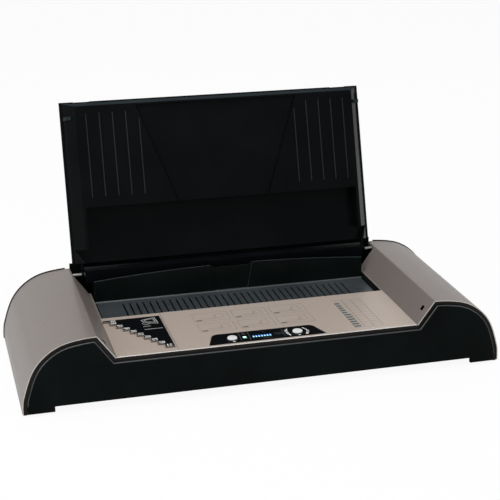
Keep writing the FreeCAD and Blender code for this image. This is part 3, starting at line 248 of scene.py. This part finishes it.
# Painted highlight: a lighter black for the lid's ribs and side nubs
LID_RIB_HIGHLIGHT = plastic("lid_rib_highlight", (0.010, 0.014, 0.015), (0.015, 0.020, 0.021), 0.30, 500, 0.03, 0.12)
SATIN = plastic("satin_black", (0.0022, 0.0028, 0.0036), (0.0040, 0.0048, 0.0060),
                0.34, 1100, 0.12, 0.04)
MATTE = plastic("matte_black", (0.006, 0.006, 0.0065), (0.010, 0.010, 0.011),
                0.55, 1400, 0.3, 0.15)
WALL = plastic("wall_black", (0.0030, 0.0048, 0.0046), (0.0050, 0.0078, 0.0074),
               0.30, 900, 0.08, 0.06)
# Painted highlight: a lighter black for the top and left edges of the clamp's wall
WALL_EDGE_HIGHLIGHT = plastic("wall_edge_highlight", (0.030, 0.036, 0.038), (0.042, 0.050, 0.052),
                    0.25, 900, 0.05, 0.4)
GREY = plastic("plate_grey", (0.038, 0.045, 0.049), (0.056, 0.065, 0.070), 0.26, 1500, 0.15, 0.4)
RUBBER = plastic("foot_rubber", (0.010, 0.010, 0.010), (0.020, 0.020, 0.020),
                 0.75, 1800, 0.5, 0.2)
WHITE = plastic("button_white", (0.86, 0.87, 0.89), (0.93, 0.94, 0.95), 0.22, 600, 0.03, 0.5, 0.3)
BUSH = plastic("bush_plastic", (0.55, 0.55, 0.53), (0.65, 0.65, 0.62), 0.4)
DOME = plastic("dome_rubber", (0.45, 0.45, 0.43), (0.55, 0.55, 0.52), 0.6)
BOARD = plastic("board_green", (0.012, 0.09, 0.035), (0.02, 0.13, 0.05), 0.35, 400, 0.3, 0.5, 0.3)
FILM = plastic("element_film", (0.35, 0.17, 0.04), (0.45, 0.23, 0.06), 0.3)
PAD = plastic("insulation_board", (0.55, 0.52, 0.45), (0.68, 0.65, 0.58), 0.85, 500, 0.7)
RED = plastic("lead_red", (0.35, 0.02, 0.015), (0.45, 0.03, 0.02), 0.4)
BLUE = plastic("lead_blue", (0.02, 0.05, 0.3), (0.03, 0.08, 0.4), 0.4)
RIBBON = plastic("cable_grey", (0.35, 0.35, 0.35), (0.45, 0.45, 0.45), 0.5, 300, 0.4)
SLEEVE = plastic("capacitor_sleeve", (0.01, 0.02, 0.09), (0.02, 0.03, 0.14), 0.25)
STEEL = metal("plated_steel", (0.45, 0.45, 0.44), (0.6, 0.6, 0.59), 0.32)
BRIGHT = metal("bright_steel", (0.36, 0.35, 0.35), (0.46, 0.45, 0.45), 0.24, (1400, 60, 60))
PIN_STEEL = metal("pin_steel", (0.17, 0.17, 0.17), (0.24, 0.24, 0.24), 0.28, (1400, 60, 60))
ALUMINIUM = metal("plain_aluminium", (0.62, 0.62, 0.62), (0.74, 0.74, 0.73),
                  0.36, (30, 1500, 1500))
BRASS = metal("pin_brass", (0.6, 0.45, 0.2), (0.75, 0.58, 0.28), 0.28)
CORE = metal("core_iron", (0.05, 0.05, 0.055), (0.09, 0.09, 0.095), 0.5, (40, 1400, 40))
PRINT_WHITE = ink("print_white", (0.95, 0.95, 0.94))
PRINT_SOFT = ink("print_soft", (0.50, 0.50, 0.49))
PRINT_DIM = ink("print_dim", (0.125, 0.128, 0.132))
PRINT_GREY = ink("print_grey", (0.170, 0.150, 0.140))
PRINT_TEAL = ink("print_teal", (0.085, 0.125, 0.135))

# The lit bars in frame metres: the first blue bar's middle, their pitch, the limit between the
# ready light and the blue bars, and where the colours and the glow start and end
LIGHT_FIRST = -15.6 * MM
LIGHT_PITCH = 3.1 * MM
LIGHT_LIMIT_X = -20.0 * MM
LIGHT_LOW_Y = (-89.6 + SHIFT_Y) * MM
LIGHT_HIGH_Y = (-86.4 + SHIFT_Y) * MM
LIGHT_LOW_Z = 54.9 * MM
LIGHT_HIGH_Z = 55.6 * MM
LIGHT_CORE_HALF = 0.3 * MM
LIGHT_BAR_HALF = 0.85 * MM
LIGHT_EDGE_GLOW = 0.06
LIGHT_GLOW = 0.85


def light_material():
    """Clear bars lit from below: one green, the others blue, each paler at one end."""
    mat, tree, shader = new_material("light_bar")
    place = node(tree, "ShaderNodeSeparateXYZ")
    tree.links.new(coords(tree), place.inputs["Vector"])
    side = maths(tree, "GREATER_THAN", place.outputs["X"], LIGHT_LIMIT_X)
    rear = span(tree, place.outputs["Y"], 0.0, 1.0, LIGHT_LOW_Y, LIGHT_HIGH_Y)
    blue = ramp(tree, rear, (0.40, 0.74, 0.98), (0.03, 0.16, 0.60), 0.2, 0.9)
    green = ramp(tree, rear, (0.22, 0.58, 0.52), (0.80, 1.0, 0.94), 0.1, 0.8)
    mix = node(tree, "ShaderNodeMix", data_type="RGBA")
    tree.links.new(side, mix.inputs["Factor"])
    tree.links.new(green, mix.inputs["A"])
    tree.links.new(blue, mix.inputs["B"])
    colour = mix.outputs["Result"]
    from_first = maths(tree, "SUBTRACT", place.outputs["X"], LIGHT_FIRST)
    across = maths(tree, "PINGPONG", from_first, LIGHT_PITCH / 2)
    core = span(tree, across, 1.0, LIGHT_EDGE_GLOW, LIGHT_CORE_HALF, LIGHT_BAR_HALF)
    core = maths(tree, "MAXIMUM", core, maths(tree, "SUBTRACT", 1.0, side))
    height = span(tree, place.outputs["Z"], 0.0, LIGHT_GLOW, LIGHT_LOW_Z, LIGHT_HIGH_Z)
    tree.links.new(colour, shader.inputs["Base Color"])
    tree.links.new(colour, shader.inputs["Emission Color"])
    tree.links.new(maths(tree, "MULTIPLY", core, height), shader.inputs["Emission Strength"])
    fill(shader, {"Roughness": 0.3, "Specular IOR Level": 0.3})
    return mat


LIGHT = light_material()


# Pieces that stand for the solids

MERGE_DISTANCE = 2e-6
FLAT_ANGLE = math.radians(0.3)
SHARP_ANGLE = math.radians(32)


def dressed(name, mat, slot, width, segments):
    """A copy of a solid's skin with softened edges, standing for that solid."""
    source = frame["nodes"][name]
    mesh = source.data.copy()
    mesh.name = name + "_skin"
    bm = bmesh.new()
    bm.from_mesh(mesh)
    bmesh.ops.remove_doubles(bm, verts=bm.verts, dist=MERGE_DISTANCE)
    bmesh.ops.dissolve_limit(bm, angle_limit=FLAT_ANGLE, verts=bm.verts, edges=bm.edges)
    bm.to_mesh(mesh)
    bm.free()
    piece = bpy.data.objects.new(name + "_skin", mesh)
    bpy.context.scene.collection.objects.link(piece)
    mesh.materials.clear()
    mesh.materials.append(mat)
    if mesh.has_custom_normals:
        active = {"object": piece, "active_object": piece, "selected_objects": [piece]}
        with bpy.context.temp_override(**active):
            bpy.ops.mesh.customdata_custom_splitnormals_clear()
    mod = piece.modifiers.new("soft_edges", "BEVEL")
    mod.width = width * MM
    mod.segments = segments
    mod.limit_method = "ANGLE"
    mod.angle_limit = SHARP_ANGLE
    mod.use_clamp_overlap = True
    mod.harden_normals = True
    mesh.shade_smooth()
    mesh.set_sharp_from_angle(angle=SHARP_ANGLE)
    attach(piece, body_of(source)[0])
    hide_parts(name)
    return piece


def retouch(piece, mat, test):
    """Give a second material to the faces whose middle, in drawing millimetres, and normal pass."""
    piece.data.materials.append(mat)
    index = len(piece.data.materials) - 1
    for face in piece.data.polygons:
        middle = face.center / MM
        if test(Vector((middle.x, middle.y - SHIFT_Y, middle.z)), face.normal):
            face.material_index = index


# Material, slot, width of the softened edges in millimetres and their segments
SKINS = {
    "left_wing_cover": (SILVER, "silver_case", 0.3, 3),
    "right_wing_cover": (SILVER, "silver_case", 0.3, 3),
    "deck_plate": (DECK_SILVER, "silver_case", 0.2, 3),
    "gauge_plate": (DECK_SILVER, "silver_case", 0.2, 2),
    "gauge_label": (SATIN, "black_satin", 0.1, 2),
    "control_panel": (SATIN, "black_gloss", 0.12, 2),
    "front_fascia": (GLOSS, "black_gloss", 0.3, 3),
    "rear_panel": (GLOSS, "black_gloss", 0.5, 3),
    "base_pan": (MATTE, "black_matte", 0.5, 2),
    "rubber_feet": (RUBBER, "rubber", 0.8, 3),
    "clamp_carriage": (GREY, "dark_grey", 0.25, 2),
    "channel_frame": (MATTE, "dark_grey", 0.3, 2),
    "rear_guide": (SATIN, "black_satin", 0.45, 3),
    "lid_liner": (LID_BLACK, "black_gloss", 0.3, 2),
    "lid_shell": (LID_BLACK, "black_gloss", 0.5, 3),
    "appliance_inlet": (MATTE, "black_matte", 0.4, 3),
    "power_button": (WHITE, "white_button", 0.3, 3),
    "select_button": (WHITE, "white_button", 0.3, 3),
    "rod_holders": (MATTE, "black_matte", 0.5, 2),
}
pieces = {name: dressed(name, *finish) for name, finish in SKINS.items()}

FINISHES = {
    "base_screws": STEEL, "latch_catches": SATIN, "board_screws": STEEL, "inlet_screws": STEEL,
    "power_dome": DOME, "select_dome": DOME, "light_guides": LIGHT, "board_leds": WHITE,
    "control_board": BOARD, "power_board": BOARD, "buzzer": MATTE, "heater_plate": ALUMINIUM,
    "heating_element": FILM, "insulation_pad": PAD, "heater_tray": STEEL, "heater_standoffs": PAD,
    "thermostat": ALUMINIUM, "thermal_fuse": STEEL, "heater_leads": RED, "clamp_liner": STEEL,
    "guide_bushes": BRASS, "guide_rods": BRIGHT, "hinge_bushes": BUSH, "hinge_pins": PIN_STEEL,
    "board_pillars": BUSH, "transformer": CORE, "relay": BLUE, "capacitor": SLEEVE,
    "terminal_blocks": BUSH, "inlet_pins": BRASS, "inlet_leads": BLUE, "ribbon_cable": RIBBON,
}
for name, mat in FINISHES.items():
    carried = frame["nodes"][name]
    carried.data.materials.clear()
    carried.data.materials.append(mat)


# Second materials of some skins. A face counts as turned one way when its normal's part along that
# way is over FACING, and END_FACING, RIM_FACING and RISER_TILT are wider or narrower limits.

FACING = 0.9
END_FACING = 0.7
RIM_FACING = 0.2
RISER_TILT = 0.3
CHANNEL_HALF = 165
CHANNEL_LOW_Z = 52
WING_CORE_X = 216.0
WING_CORE_Z = 38.0
LATCH_X = 177.8
LATCH_Y = -91.0
LATCH_Z = 68.5
LATCH_REACH = 3
LATCH_RISE = 3.5
END_DEPTH = 1.5
RIDGE_DEPTH = 0.2
RIDGE_FACING = 0.93
RING_DEPTH = 0.8
FOOT_TOP_Z = 12
CLAMP_WALL_Y = 47
CLAMP_EDGE_Z = 54
LID_RIM_Z = 235.0
LID_RIB_Z = 120.0
LID_RIB_HALF = 0.75
LID_RIB_FIRST = 155.3
LID_RIB_PITCH = 15.385
LID_RIBS = [LID_RIB_FIRST - LID_RIB_PITCH * index for index in range(5)]
LID_NUB_X = 172.0
LID_NUB_Z = 251.2
LID_NUB_REACH = 4
SEAM_X = -99.8
SEAM_REACH = 0.3


def inside_wing(middle, normal):
    """True on the hidden inner faces of a wing cover and on its ledge's edge in the channel."""
    if abs(normal.y) > END_FACING:
        return False
    side = math.copysign(1, middle.x)
    in_channel = middle.y > OPENING_Y and middle.z > CHANNEL_LOW_Z and abs(middle.x) < CHANNEL_HALF
    if in_channel and normal.x * side < -FACING:
        return True
    out_x = middle.x - side * WING_CORE_X
    out_z = middle.z - WING_CORE_Z
    return normal.x * out_x + normal.z * out_z < 0


def latch_slot_shade(middle, normal):
    """True on the walls of the latch slot in a wing's slope, which get satin black as painted
    shade.
    """
    near = (abs(middle.y - LATCH_Y) < LATCH_REACH and abs(abs(middle.x) - LATCH_X) < LATCH_REACH
            and abs(middle.z - LATCH_Z) < LATCH_RISE)
    return near and (abs(normal.y) > FACING or normal.x * middle.x * normal.z > 0)


def front_end_highlight(middle, normal):
    """True on the thin ends that the silver pieces turn to the front, which get a lighter silver as
    a painted highlight.
    """
    return normal.y < -FACING and middle.y < FRONT_Y + END_DEPTH


def face_ridge_highlight(middle, normal):
    """True on the rounded edge of the fascia's raised face, above its foot, which gets a lighter
    black as a painted highlight.
    """
    return middle.y < FRONT_Y - RIDGE_DEPTH and normal.y > -RIDGE_FACING and middle.z > FOOT_TOP_Z


def fascia_ring_reflection(middle, normal):
    """True on the set-back ring of the fascia, which gets a brownish black as a painted reflection.
    """
    return middle.y > FRONT_Y + RING_DEPTH


def clamp_wall(middle, normal):
    """True on the clamp's upright wall."""
    return middle.y > CLAMP_WALL_Y and middle.z > CHANNEL_LOW_Z


def clamp_edge_highlight(middle, normal):
    """True on the top and left edge of the clamp's upright wall, which get a lighter black as a
    painted highlight.
    """
    turned = normal.z > FACING or normal.x < -FACING
    return middle.y > CLAMP_WALL_Y and middle.z > CLAMP_EDGE_Z and turned


def lid_rim_reflection(middle, normal):
    """True on the sloped rim along the open lid's top, which gets a grey-blue black as a painted
    reflection.
    """
    return middle.z > LID_RIM_Z and normal.z > RIM_FACING


def lid_rib_highlight(middle, normal):
    """True on the narrow ribs of the lid's inner face and on its side nubs, which get a lighter
    black as a painted highlight.
    """
    if abs(middle.x) > LID_NUB_X:
        return abs(middle.z - LID_NUB_Z) < LID_NUB_REACH
    on_rib = any(abs(abs(middle.x) - x) < LID_RIB_HALF for x in LID_RIBS)
    return middle.z > LID_RIB_Z and on_rib


def scale_riser_shade(middle, normal):
    """True on the steps' upright faces, which get a darker silver as painted shade."""
    on_block = middle.z > DECK_Z and middle.y > FRONT_Y + END_DEPTH
    return on_block and abs(normal.z) < RISER_TILT


def seam_shade_and_highlight(middle, normal):
    """True on the sides of the narrow gap between the insert and the deck: satin black on the
    insert's side is painted shade, near-white silver on the deck's side is a painted highlight.
    """
    return abs(middle.x - SEAM_X) < SEAM_REACH and abs(normal.x) > FACING


RETOUCHES = (
    ("left_wing_cover", MATTE, inside_wing), ("left_wing_cover", WING_EDGE_HIGHLIGHT, front_end_highlight),
    # Satin black on the latch slots' walls is painted shade
    ("left_wing_cover", SATIN, latch_slot_shade),
    ("right_wing_cover", MATTE, inside_wing), ("right_wing_cover", WING_EDGE_HIGHLIGHT, front_end_highlight),
    ("right_wing_cover", SATIN, latch_slot_shade),
    ("deck_plate", EDGE_HIGHLIGHT, front_end_highlight), ("gauge_plate", EDGE_HIGHLIGHT, front_end_highlight),
    ("front_fascia", RING_REFLECTION, fascia_ring_reflection), ("front_fascia", RIDGE_HIGHLIGHT, face_ridge_highlight),
    ("clamp_carriage", WALL, clamp_wall), ("clamp_carriage", WALL_EDGE_HIGHLIGHT, clamp_edge_highlight),
    # The seam's sides get painted shade on the insert and a painted highlight on the deck
    ("gauge_plate", STEP_SHADE, scale_riser_shade), ("gauge_plate", SATIN, seam_shade_and_highlight),
    ("deck_plate", EDGE_HIGHLIGHT, seam_shade_and_highlight),
    ("lid_liner", LID_RIB_HIGHLIGHT, lid_rib_highlight), ("lid_liner", LID_RIM_REFLECTION, lid_rim_reflection),
)
for name, mat, test in RETOUCHES:
    retouch(pieces[name], mat, test)


# Printed marks, as thin sheets of ink that lie on the panels

NUMBER_STROKE = 1.1
SKETCH_STROKE = 1.0
PLATE_STROKE = 0.35
PLATE_BLOCK_STROKE = 3.0
TABLE_STROKE = 0.4
BLOCK_STROKE = 3.6
PANEL_STROKE = 0.45
READY_STROKE = 0.6
TICK_STROKE = 1.3


def printed(name, mat, z, strokes, width):
    """Flat ink strokes along runs of points; a stroke may bring a width of its own."""
    bm = bmesh.new()
    for stroke in strokes:
        line, wide = stroke if isinstance(stroke, tuple) else (stroke, width)
        for (x0, y0), (x1, y1) in zip(line, line[1:]):
            run = math.hypot(x1 - x0, y1 - y0)
            ux, uy = (x1 - x0) / run * wide / 2, (y1 - y0) / run * wide / 2
            corners = ((x0 - ux - uy, y0 - uy + ux), (x0 - ux + uy, y0 - uy - ux),
                       (x1 + ux + uy, y1 + uy - ux), (x1 + ux - uy, y1 + uy + ux))
            bm.faces.new([bm.verts.new(at(x, y, z + PRINT_LIFT)) for x, y in corners])
    mesh = bpy.data.meshes.new(name)
    bm.to_mesh(mesh)
    bm.free()
    mesh.materials.append(mat)
    piece = bpy.data.objects.new(name, mesh)
    bpy.context.scene.collection.objects.link(piece)
    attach(piece, "base")


def framed(x0, y0, x1, y1):
    """A closed rectangle as one run of points."""
    return [(x0, y0), (x1, y0), (x1, y1), (x0, y1), (x0, y0)]


def arc(cx, cy, rx, ry, start, end, steps=8):
    """Points on an ellipse between two angles in degrees."""
    angles = [math.radians(start + (end - start) * index / steps) for index in range(steps + 1)]
    return [(cx + rx * math.cos(angle), cy + ry * math.sin(angle)) for angle in angles]


def tapered(points, widths):
    """Strokes along a run of points, each with a width of its own."""
    return [([start, end], wide) for start, end, wide in zip(points, points[1:], widths)]


# Strokes of the digits in a cell that is one wide and one high
DIGITS = {
    "0": [[(0, 0), (1, 0), (1, 1), (0, 1), (0, 0)]],
    "1": [[(0.5, 0), (0.5, 1)]],
    "2": [[(0, 1), (1, 1), (1, 0.5), (0, 0.5), (0, 0), (1, 0)]],
    "3": [[(0, 1), (1, 1), (1, 0), (0, 0)], [(0.2, 0.5), (1, 0.5)]],
    "4": [[(0, 1), (0, 0.45), (1, 0.45)], [(0.8, 1), (0.8, 0)]],
    "5": [[(1, 1), (0, 1), (0, 0.5), (1, 0.5), (1, 0), (0, 0)]],
    "6": [[(1, 1), (0, 1), (0, 0), (1, 0), (1, 0.5), (0, 0.5)]],
    "8": [[(0, 0), (1, 0), (1, 1), (0, 1), (0, 0)], [(0, 0.5), (1, 0.5)]],
}


def number(text, x, y, wide=2.0, high=4.4, gap=1.2):
    """Strokes of a number whose middle is at a point."""
    left = x - (len(text) * wide + (len(text) - 1) * gap) / 2
    return [[(left + index * (wide + gap) + px * wide, y + (py - 0.5) * high) for px, py in run]
            for index, digit in enumerate(text) for run in DIGITS[digit]]


# Numbers of the thickness scale, and a small sketch of sheets standing at their right

SCALE_X = -155.2
SCALE_Y = -17.3
SCALE_STEP_X = 5.9
SCALE_STEP_Y = 9.19
TOP_NUMBER_X = -154.9
TOP_NUMBER_Y = -11.6
scale_runs = number("60", TOP_NUMBER_X, TOP_NUMBER_Y, high=3.0)
for index, text in enumerate(("50", "45", "40", "36", "32", "28", "24", "20", "15")):
    scale_runs += number(text, SCALE_X + index * SCALE_STEP_X, SCALE_Y - index * SCALE_STEP_Y)
printed("scale_numbers", PRINT_WHITE, LABEL_Z, scale_runs, NUMBER_STROKE)

SKETCH = [[(-124.5, -17), (-109, -12.5), (-107.6, -30), (-122, -25), (-124.5, -17)],
          [(-121.5, -18), (-111, -15.2), (-110, -26), (-119.5, -23), (-121.5, -18)],
          [(-124.8, -26.5), (-121.5, -31), (-117, -29)], [(-124.8, -35.5), (-117.6, -35.2)],
          [(-124.8, -43.6), (-105.8, -43.8)]]
printed("scale_sketch", PRINT_SOFT, LABEL_Z, SKETCH, SKETCH_STROKE)


# Faint sketches and the table on the deck

PLATE_COLUMNS = ((-66.5, -27.0), (-21.5, 17.5), (22.5, 62.0))
PLATE_ROWS = ((-34.0, -10.5), (-63.5, -41.0))


def plate(left, low, right, high):
    """Strokes of one framed sketch: a frame, two bent lines, a slanted sheet and a block."""
    mid_x = (left + right) / 2
    return [
        framed(left, low, right, high),
        [(left + 7, low + 5), (mid_x - 3, low + 4), (mid_x + 8, low + 9)],
        [(left + 9, low + 9), (mid_x, low + 8), (mid_x + 7, low + 14)],
        [(mid_x + 4, low + 5), (right - 5, low + 7), (right - 7, high - 5), (mid_x + 5, high - 7),
         (mid_x + 4, low + 5)],
        ([(left + 3.2, low + 3.4), (left + 6.4, low + 3.4)], PLATE_BLOCK_STROKE),
    ]


plates = [stroke for low, high in PLATE_ROWS for left, right in PLATE_COLUMNS
          for stroke in plate(left, low, right, high)]
printed("deck_sketches", PRINT_GREY, DECK_Z, plates, PLATE_STROKE)

TABLE_LEFT = 97.5
TABLE_RIGHT = 131.0
TABLE_TOP = -13.0
TABLE_LOW = -94.0
TABLE_ROWS = 12
TABLE_COLUMNS = (109.5, 120.0, TABLE_RIGHT)
ROW_PITCH = (TABLE_TOP - TABLE_LOW) / TABLE_ROWS
table = [[(TABLE_LEFT, TABLE_TOP - index * ROW_PITCH), (TABLE_RIGHT, TABLE_TOP - index * ROW_PITCH)]
         for index in range(TABLE_ROWS + 1)]
table += [[(x, TABLE_TOP), (x, TABLE_LOW)] for x in TABLE_COLUMNS]
printed("deck_table", PRINT_GREY, DECK_Z, table, TABLE_STROKE)

BLOCK_LEFT = 99.8
BLOCK_RIGHTS = [102.2] * 5 + [104.2] * 6
blocks = []
for index, right in enumerate(BLOCK_RIGHTS, 1):
    y = TABLE_TOP - (index + 0.5) * ROW_PITCH
    blocks.append([(BLOCK_LEFT, y), (right, y)])
printed("deck_table_marks", PRINT_TEAL, DECK_Z, blocks, BLOCK_STROKE)


# Marks on the control panel: its dividing lines, the ready mark and the arrows beside the buttons

PANEL_LINES = [[(-29.4, -75.9), (-30.6, -95.6)], [(-19.2, -75.2), (-20.4, -96.0)],
               [(18.5, -77.6), (17.6, -96.0)], [(-7.3, -95.1), (3.5, -95.2)],
               [(-3.4, -78.6), (-0.6, -78.4)]]
PANEL_COMB_X = 8.6
PANEL_COMB_PITCH = 2.6
PANEL_COMB = [PANEL_COMB_X + index * PANEL_COMB_PITCH for index in range(4)]
PANEL_LINES += [[(x, -87.4), (x, -84.6)] for x in PANEL_COMB]
PANEL_LINES += [[(PANEL_COMB_X, -89.4), (16.6, -89.0)]]
printed("panel_lines", PRINT_DIM, PANEL_Z, PANEL_LINES, PANEL_STROKE)

READY_X = -24.8
READY_Y = -80.0
ready_mark = [arc(READY_X, READY_Y, rx=1.5, ry=2.2, start=120, end=420),
              [(READY_X, -79.4), (READY_X, -76.8)]]
printed("panel_ready_mark", PRINT_DIM, PANEL_Z, ready_mark, READY_STROKE)

LEFT_TURN = [(24.4, -78.5), (22.4, -82.0), (22.0, -86.0), (22.4, -91.0), (23.8, -95.2)]
RIGHT_TURN = [(42.2, -79.7), (44.4, -83.6), (45.2, -88.0), (44.4, -92.4), (42.6, -95.0)]
BUTTON_TICKS = [[(-39.6, -96.4), (-38.2, -96.4)], [(33.2, -96.6), (34.6, -96.6)]]
turn_marks = tapered(LEFT_TURN, (1.2, 3.0, 3.0, 1.8)) + tapered(RIGHT_TURN, (1.4, 1.8, 2.6, 2.8))
turn_marks += BUTTON_TICKS
printed("panel_turn_marks", PRINT_WHITE, PANEL_Z, turn_marks, TICK_STROKE)


# Camera, floor and light

CAMERA_PLACE = (-0.3530, -1.3384, 0.6014)
CAMERA_AZIMUTH = math.radians(15.25)
CAMERA_DROP = math.radians(19.43)
CAMERA_LENS = 92.635
CAMERA_SENSOR = 36.0
CAMERA_REACH = 20.0
WORLD_LEVEL = 0.45
FLOOR_HALF = 6.0
FLOOR_DROP = 0.0002
FLOOR_GLOW = 0.93

# Name, place, target and size in metres, and power in watts
LAMPS = (
    ("top_soft", (-0.4, -0.3, 1.9), (-0.05, 0, 0.05), (1.4, 1.4), 16),
    ("left_soft", (-1.8, -0.9, 0.9), (-0.1, 0, 0.08), (1.0, 1.2), 10),
    ("right_soft", (1.7, -0.6, 1.1), (0.1, 0, 0.08), (0.8, 1.2), 2.5),
)


def add_camera():
    """The photograph's viewpoint."""
    data = bpy.data.cameras.new("view")
    data.sensor_width = CAMERA_SENSOR
    data.lens = CAMERA_LENS
    data.clip_end = CAMERA_REACH
    camera = bpy.data.objects.new("view", data)
    bpy.context.scene.collection.objects.link(camera)
    level = math.cos(CAMERA_DROP)
    ahead = Vector((math.sin(CAMERA_AZIMUTH) * level, math.cos(CAMERA_AZIMUTH) * level,
                    -math.sin(CAMERA_DROP)))
    camera.location = CAMERA_PLACE
    camera.rotation_euler = ahead.to_track_quat("-Z", "Y").to_euler()
    bpy.context.scene.camera = camera


def area_light(name, place, target, size, power):
    """A soft rectangular lamp aimed at a point."""
    data = bpy.data.lights.new(name, "AREA")
    data.shape = "RECTANGLE"
    data.size, data.size_y = size
    data.energy = power
    lamp = bpy.data.objects.new(name, data)
    lamp.location = place
    lamp.rotation_euler = (Vector(target) - Vector(place)).to_track_quat("-Z", "Y").to_euler()
    bpy.context.scene.collection.objects.link(lamp)


def add_world():
    """White to the camera, to reflections and through glass, softer on diffuse surfaces."""
    world = bpy.data.worlds.new("studio")
    bpy.context.scene.world = world
    world.use_nodes = True
    tree = world.node_tree
    back = tree.nodes["Background"]
    back.inputs["Color"].default_value = (1, 1, 1, 1)
    path = node(tree, "ShaderNodeLightPath")
    seen = maths(tree, "MAXIMUM", path.outputs["Is Camera Ray"], path.outputs["Is Glossy Ray"])
    seen = maths(tree, "MAXIMUM", seen, path.outputs["Is Transmission Ray"])
    tree.links.new(span(tree, seen, WORLD_LEVEL, 1.0), back.inputs["Strength"])


def add_floor():
    """A white floor that keeps the soft shadow."""
    mesh = bpy.data.meshes.new("floor")
    corners = framed(-FLOOR_HALF, -FLOOR_HALF, FLOOR_HALF, FLOOR_HALF)[:4]
    mesh.from_pydata([(x, y, 0) for x, y in corners], [], [(0, 1, 2, 3)])
    floor = bpy.data.objects.new("floor", mesh)
    floor.location = (0, 0, -FLOOR_DROP)
    bpy.context.scene.collection.objects.link(floor)
    mat, tree, shader = new_material("floor_white")
    fill(shader, {"Base Color": (1, 1, 1, 1), "Roughness": 1.0, "Specular IOR Level": 0.0})
    path = node(tree, "ShaderNodeLightPath")
    glow = node(tree, "ShaderNodeEmission", Strength=1.0)
    mix = node(tree, "ShaderNodeMixShader")
    tree.links.new(span(tree, path.outputs["Is Camera Ray"], 0.0, FLOOR_GLOW), mix.inputs["Fac"])
    tree.links.new(shader.outputs["BSDF"], mix.inputs[1])
    tree.links.new(glow.outputs["Emission"], mix.inputs[2])
    tree.links.new(mix.outputs["Shader"], tree.nodes["Material Output"].inputs["Surface"])
    mesh.materials.append(mat)


add_camera()
add_world()
add_floor()
for lamp in LAMPS:
    area_light(*lamp)
bpy.context.scene.view_settings.view_transform = "Standard"

bpy.context.view_layer.update()
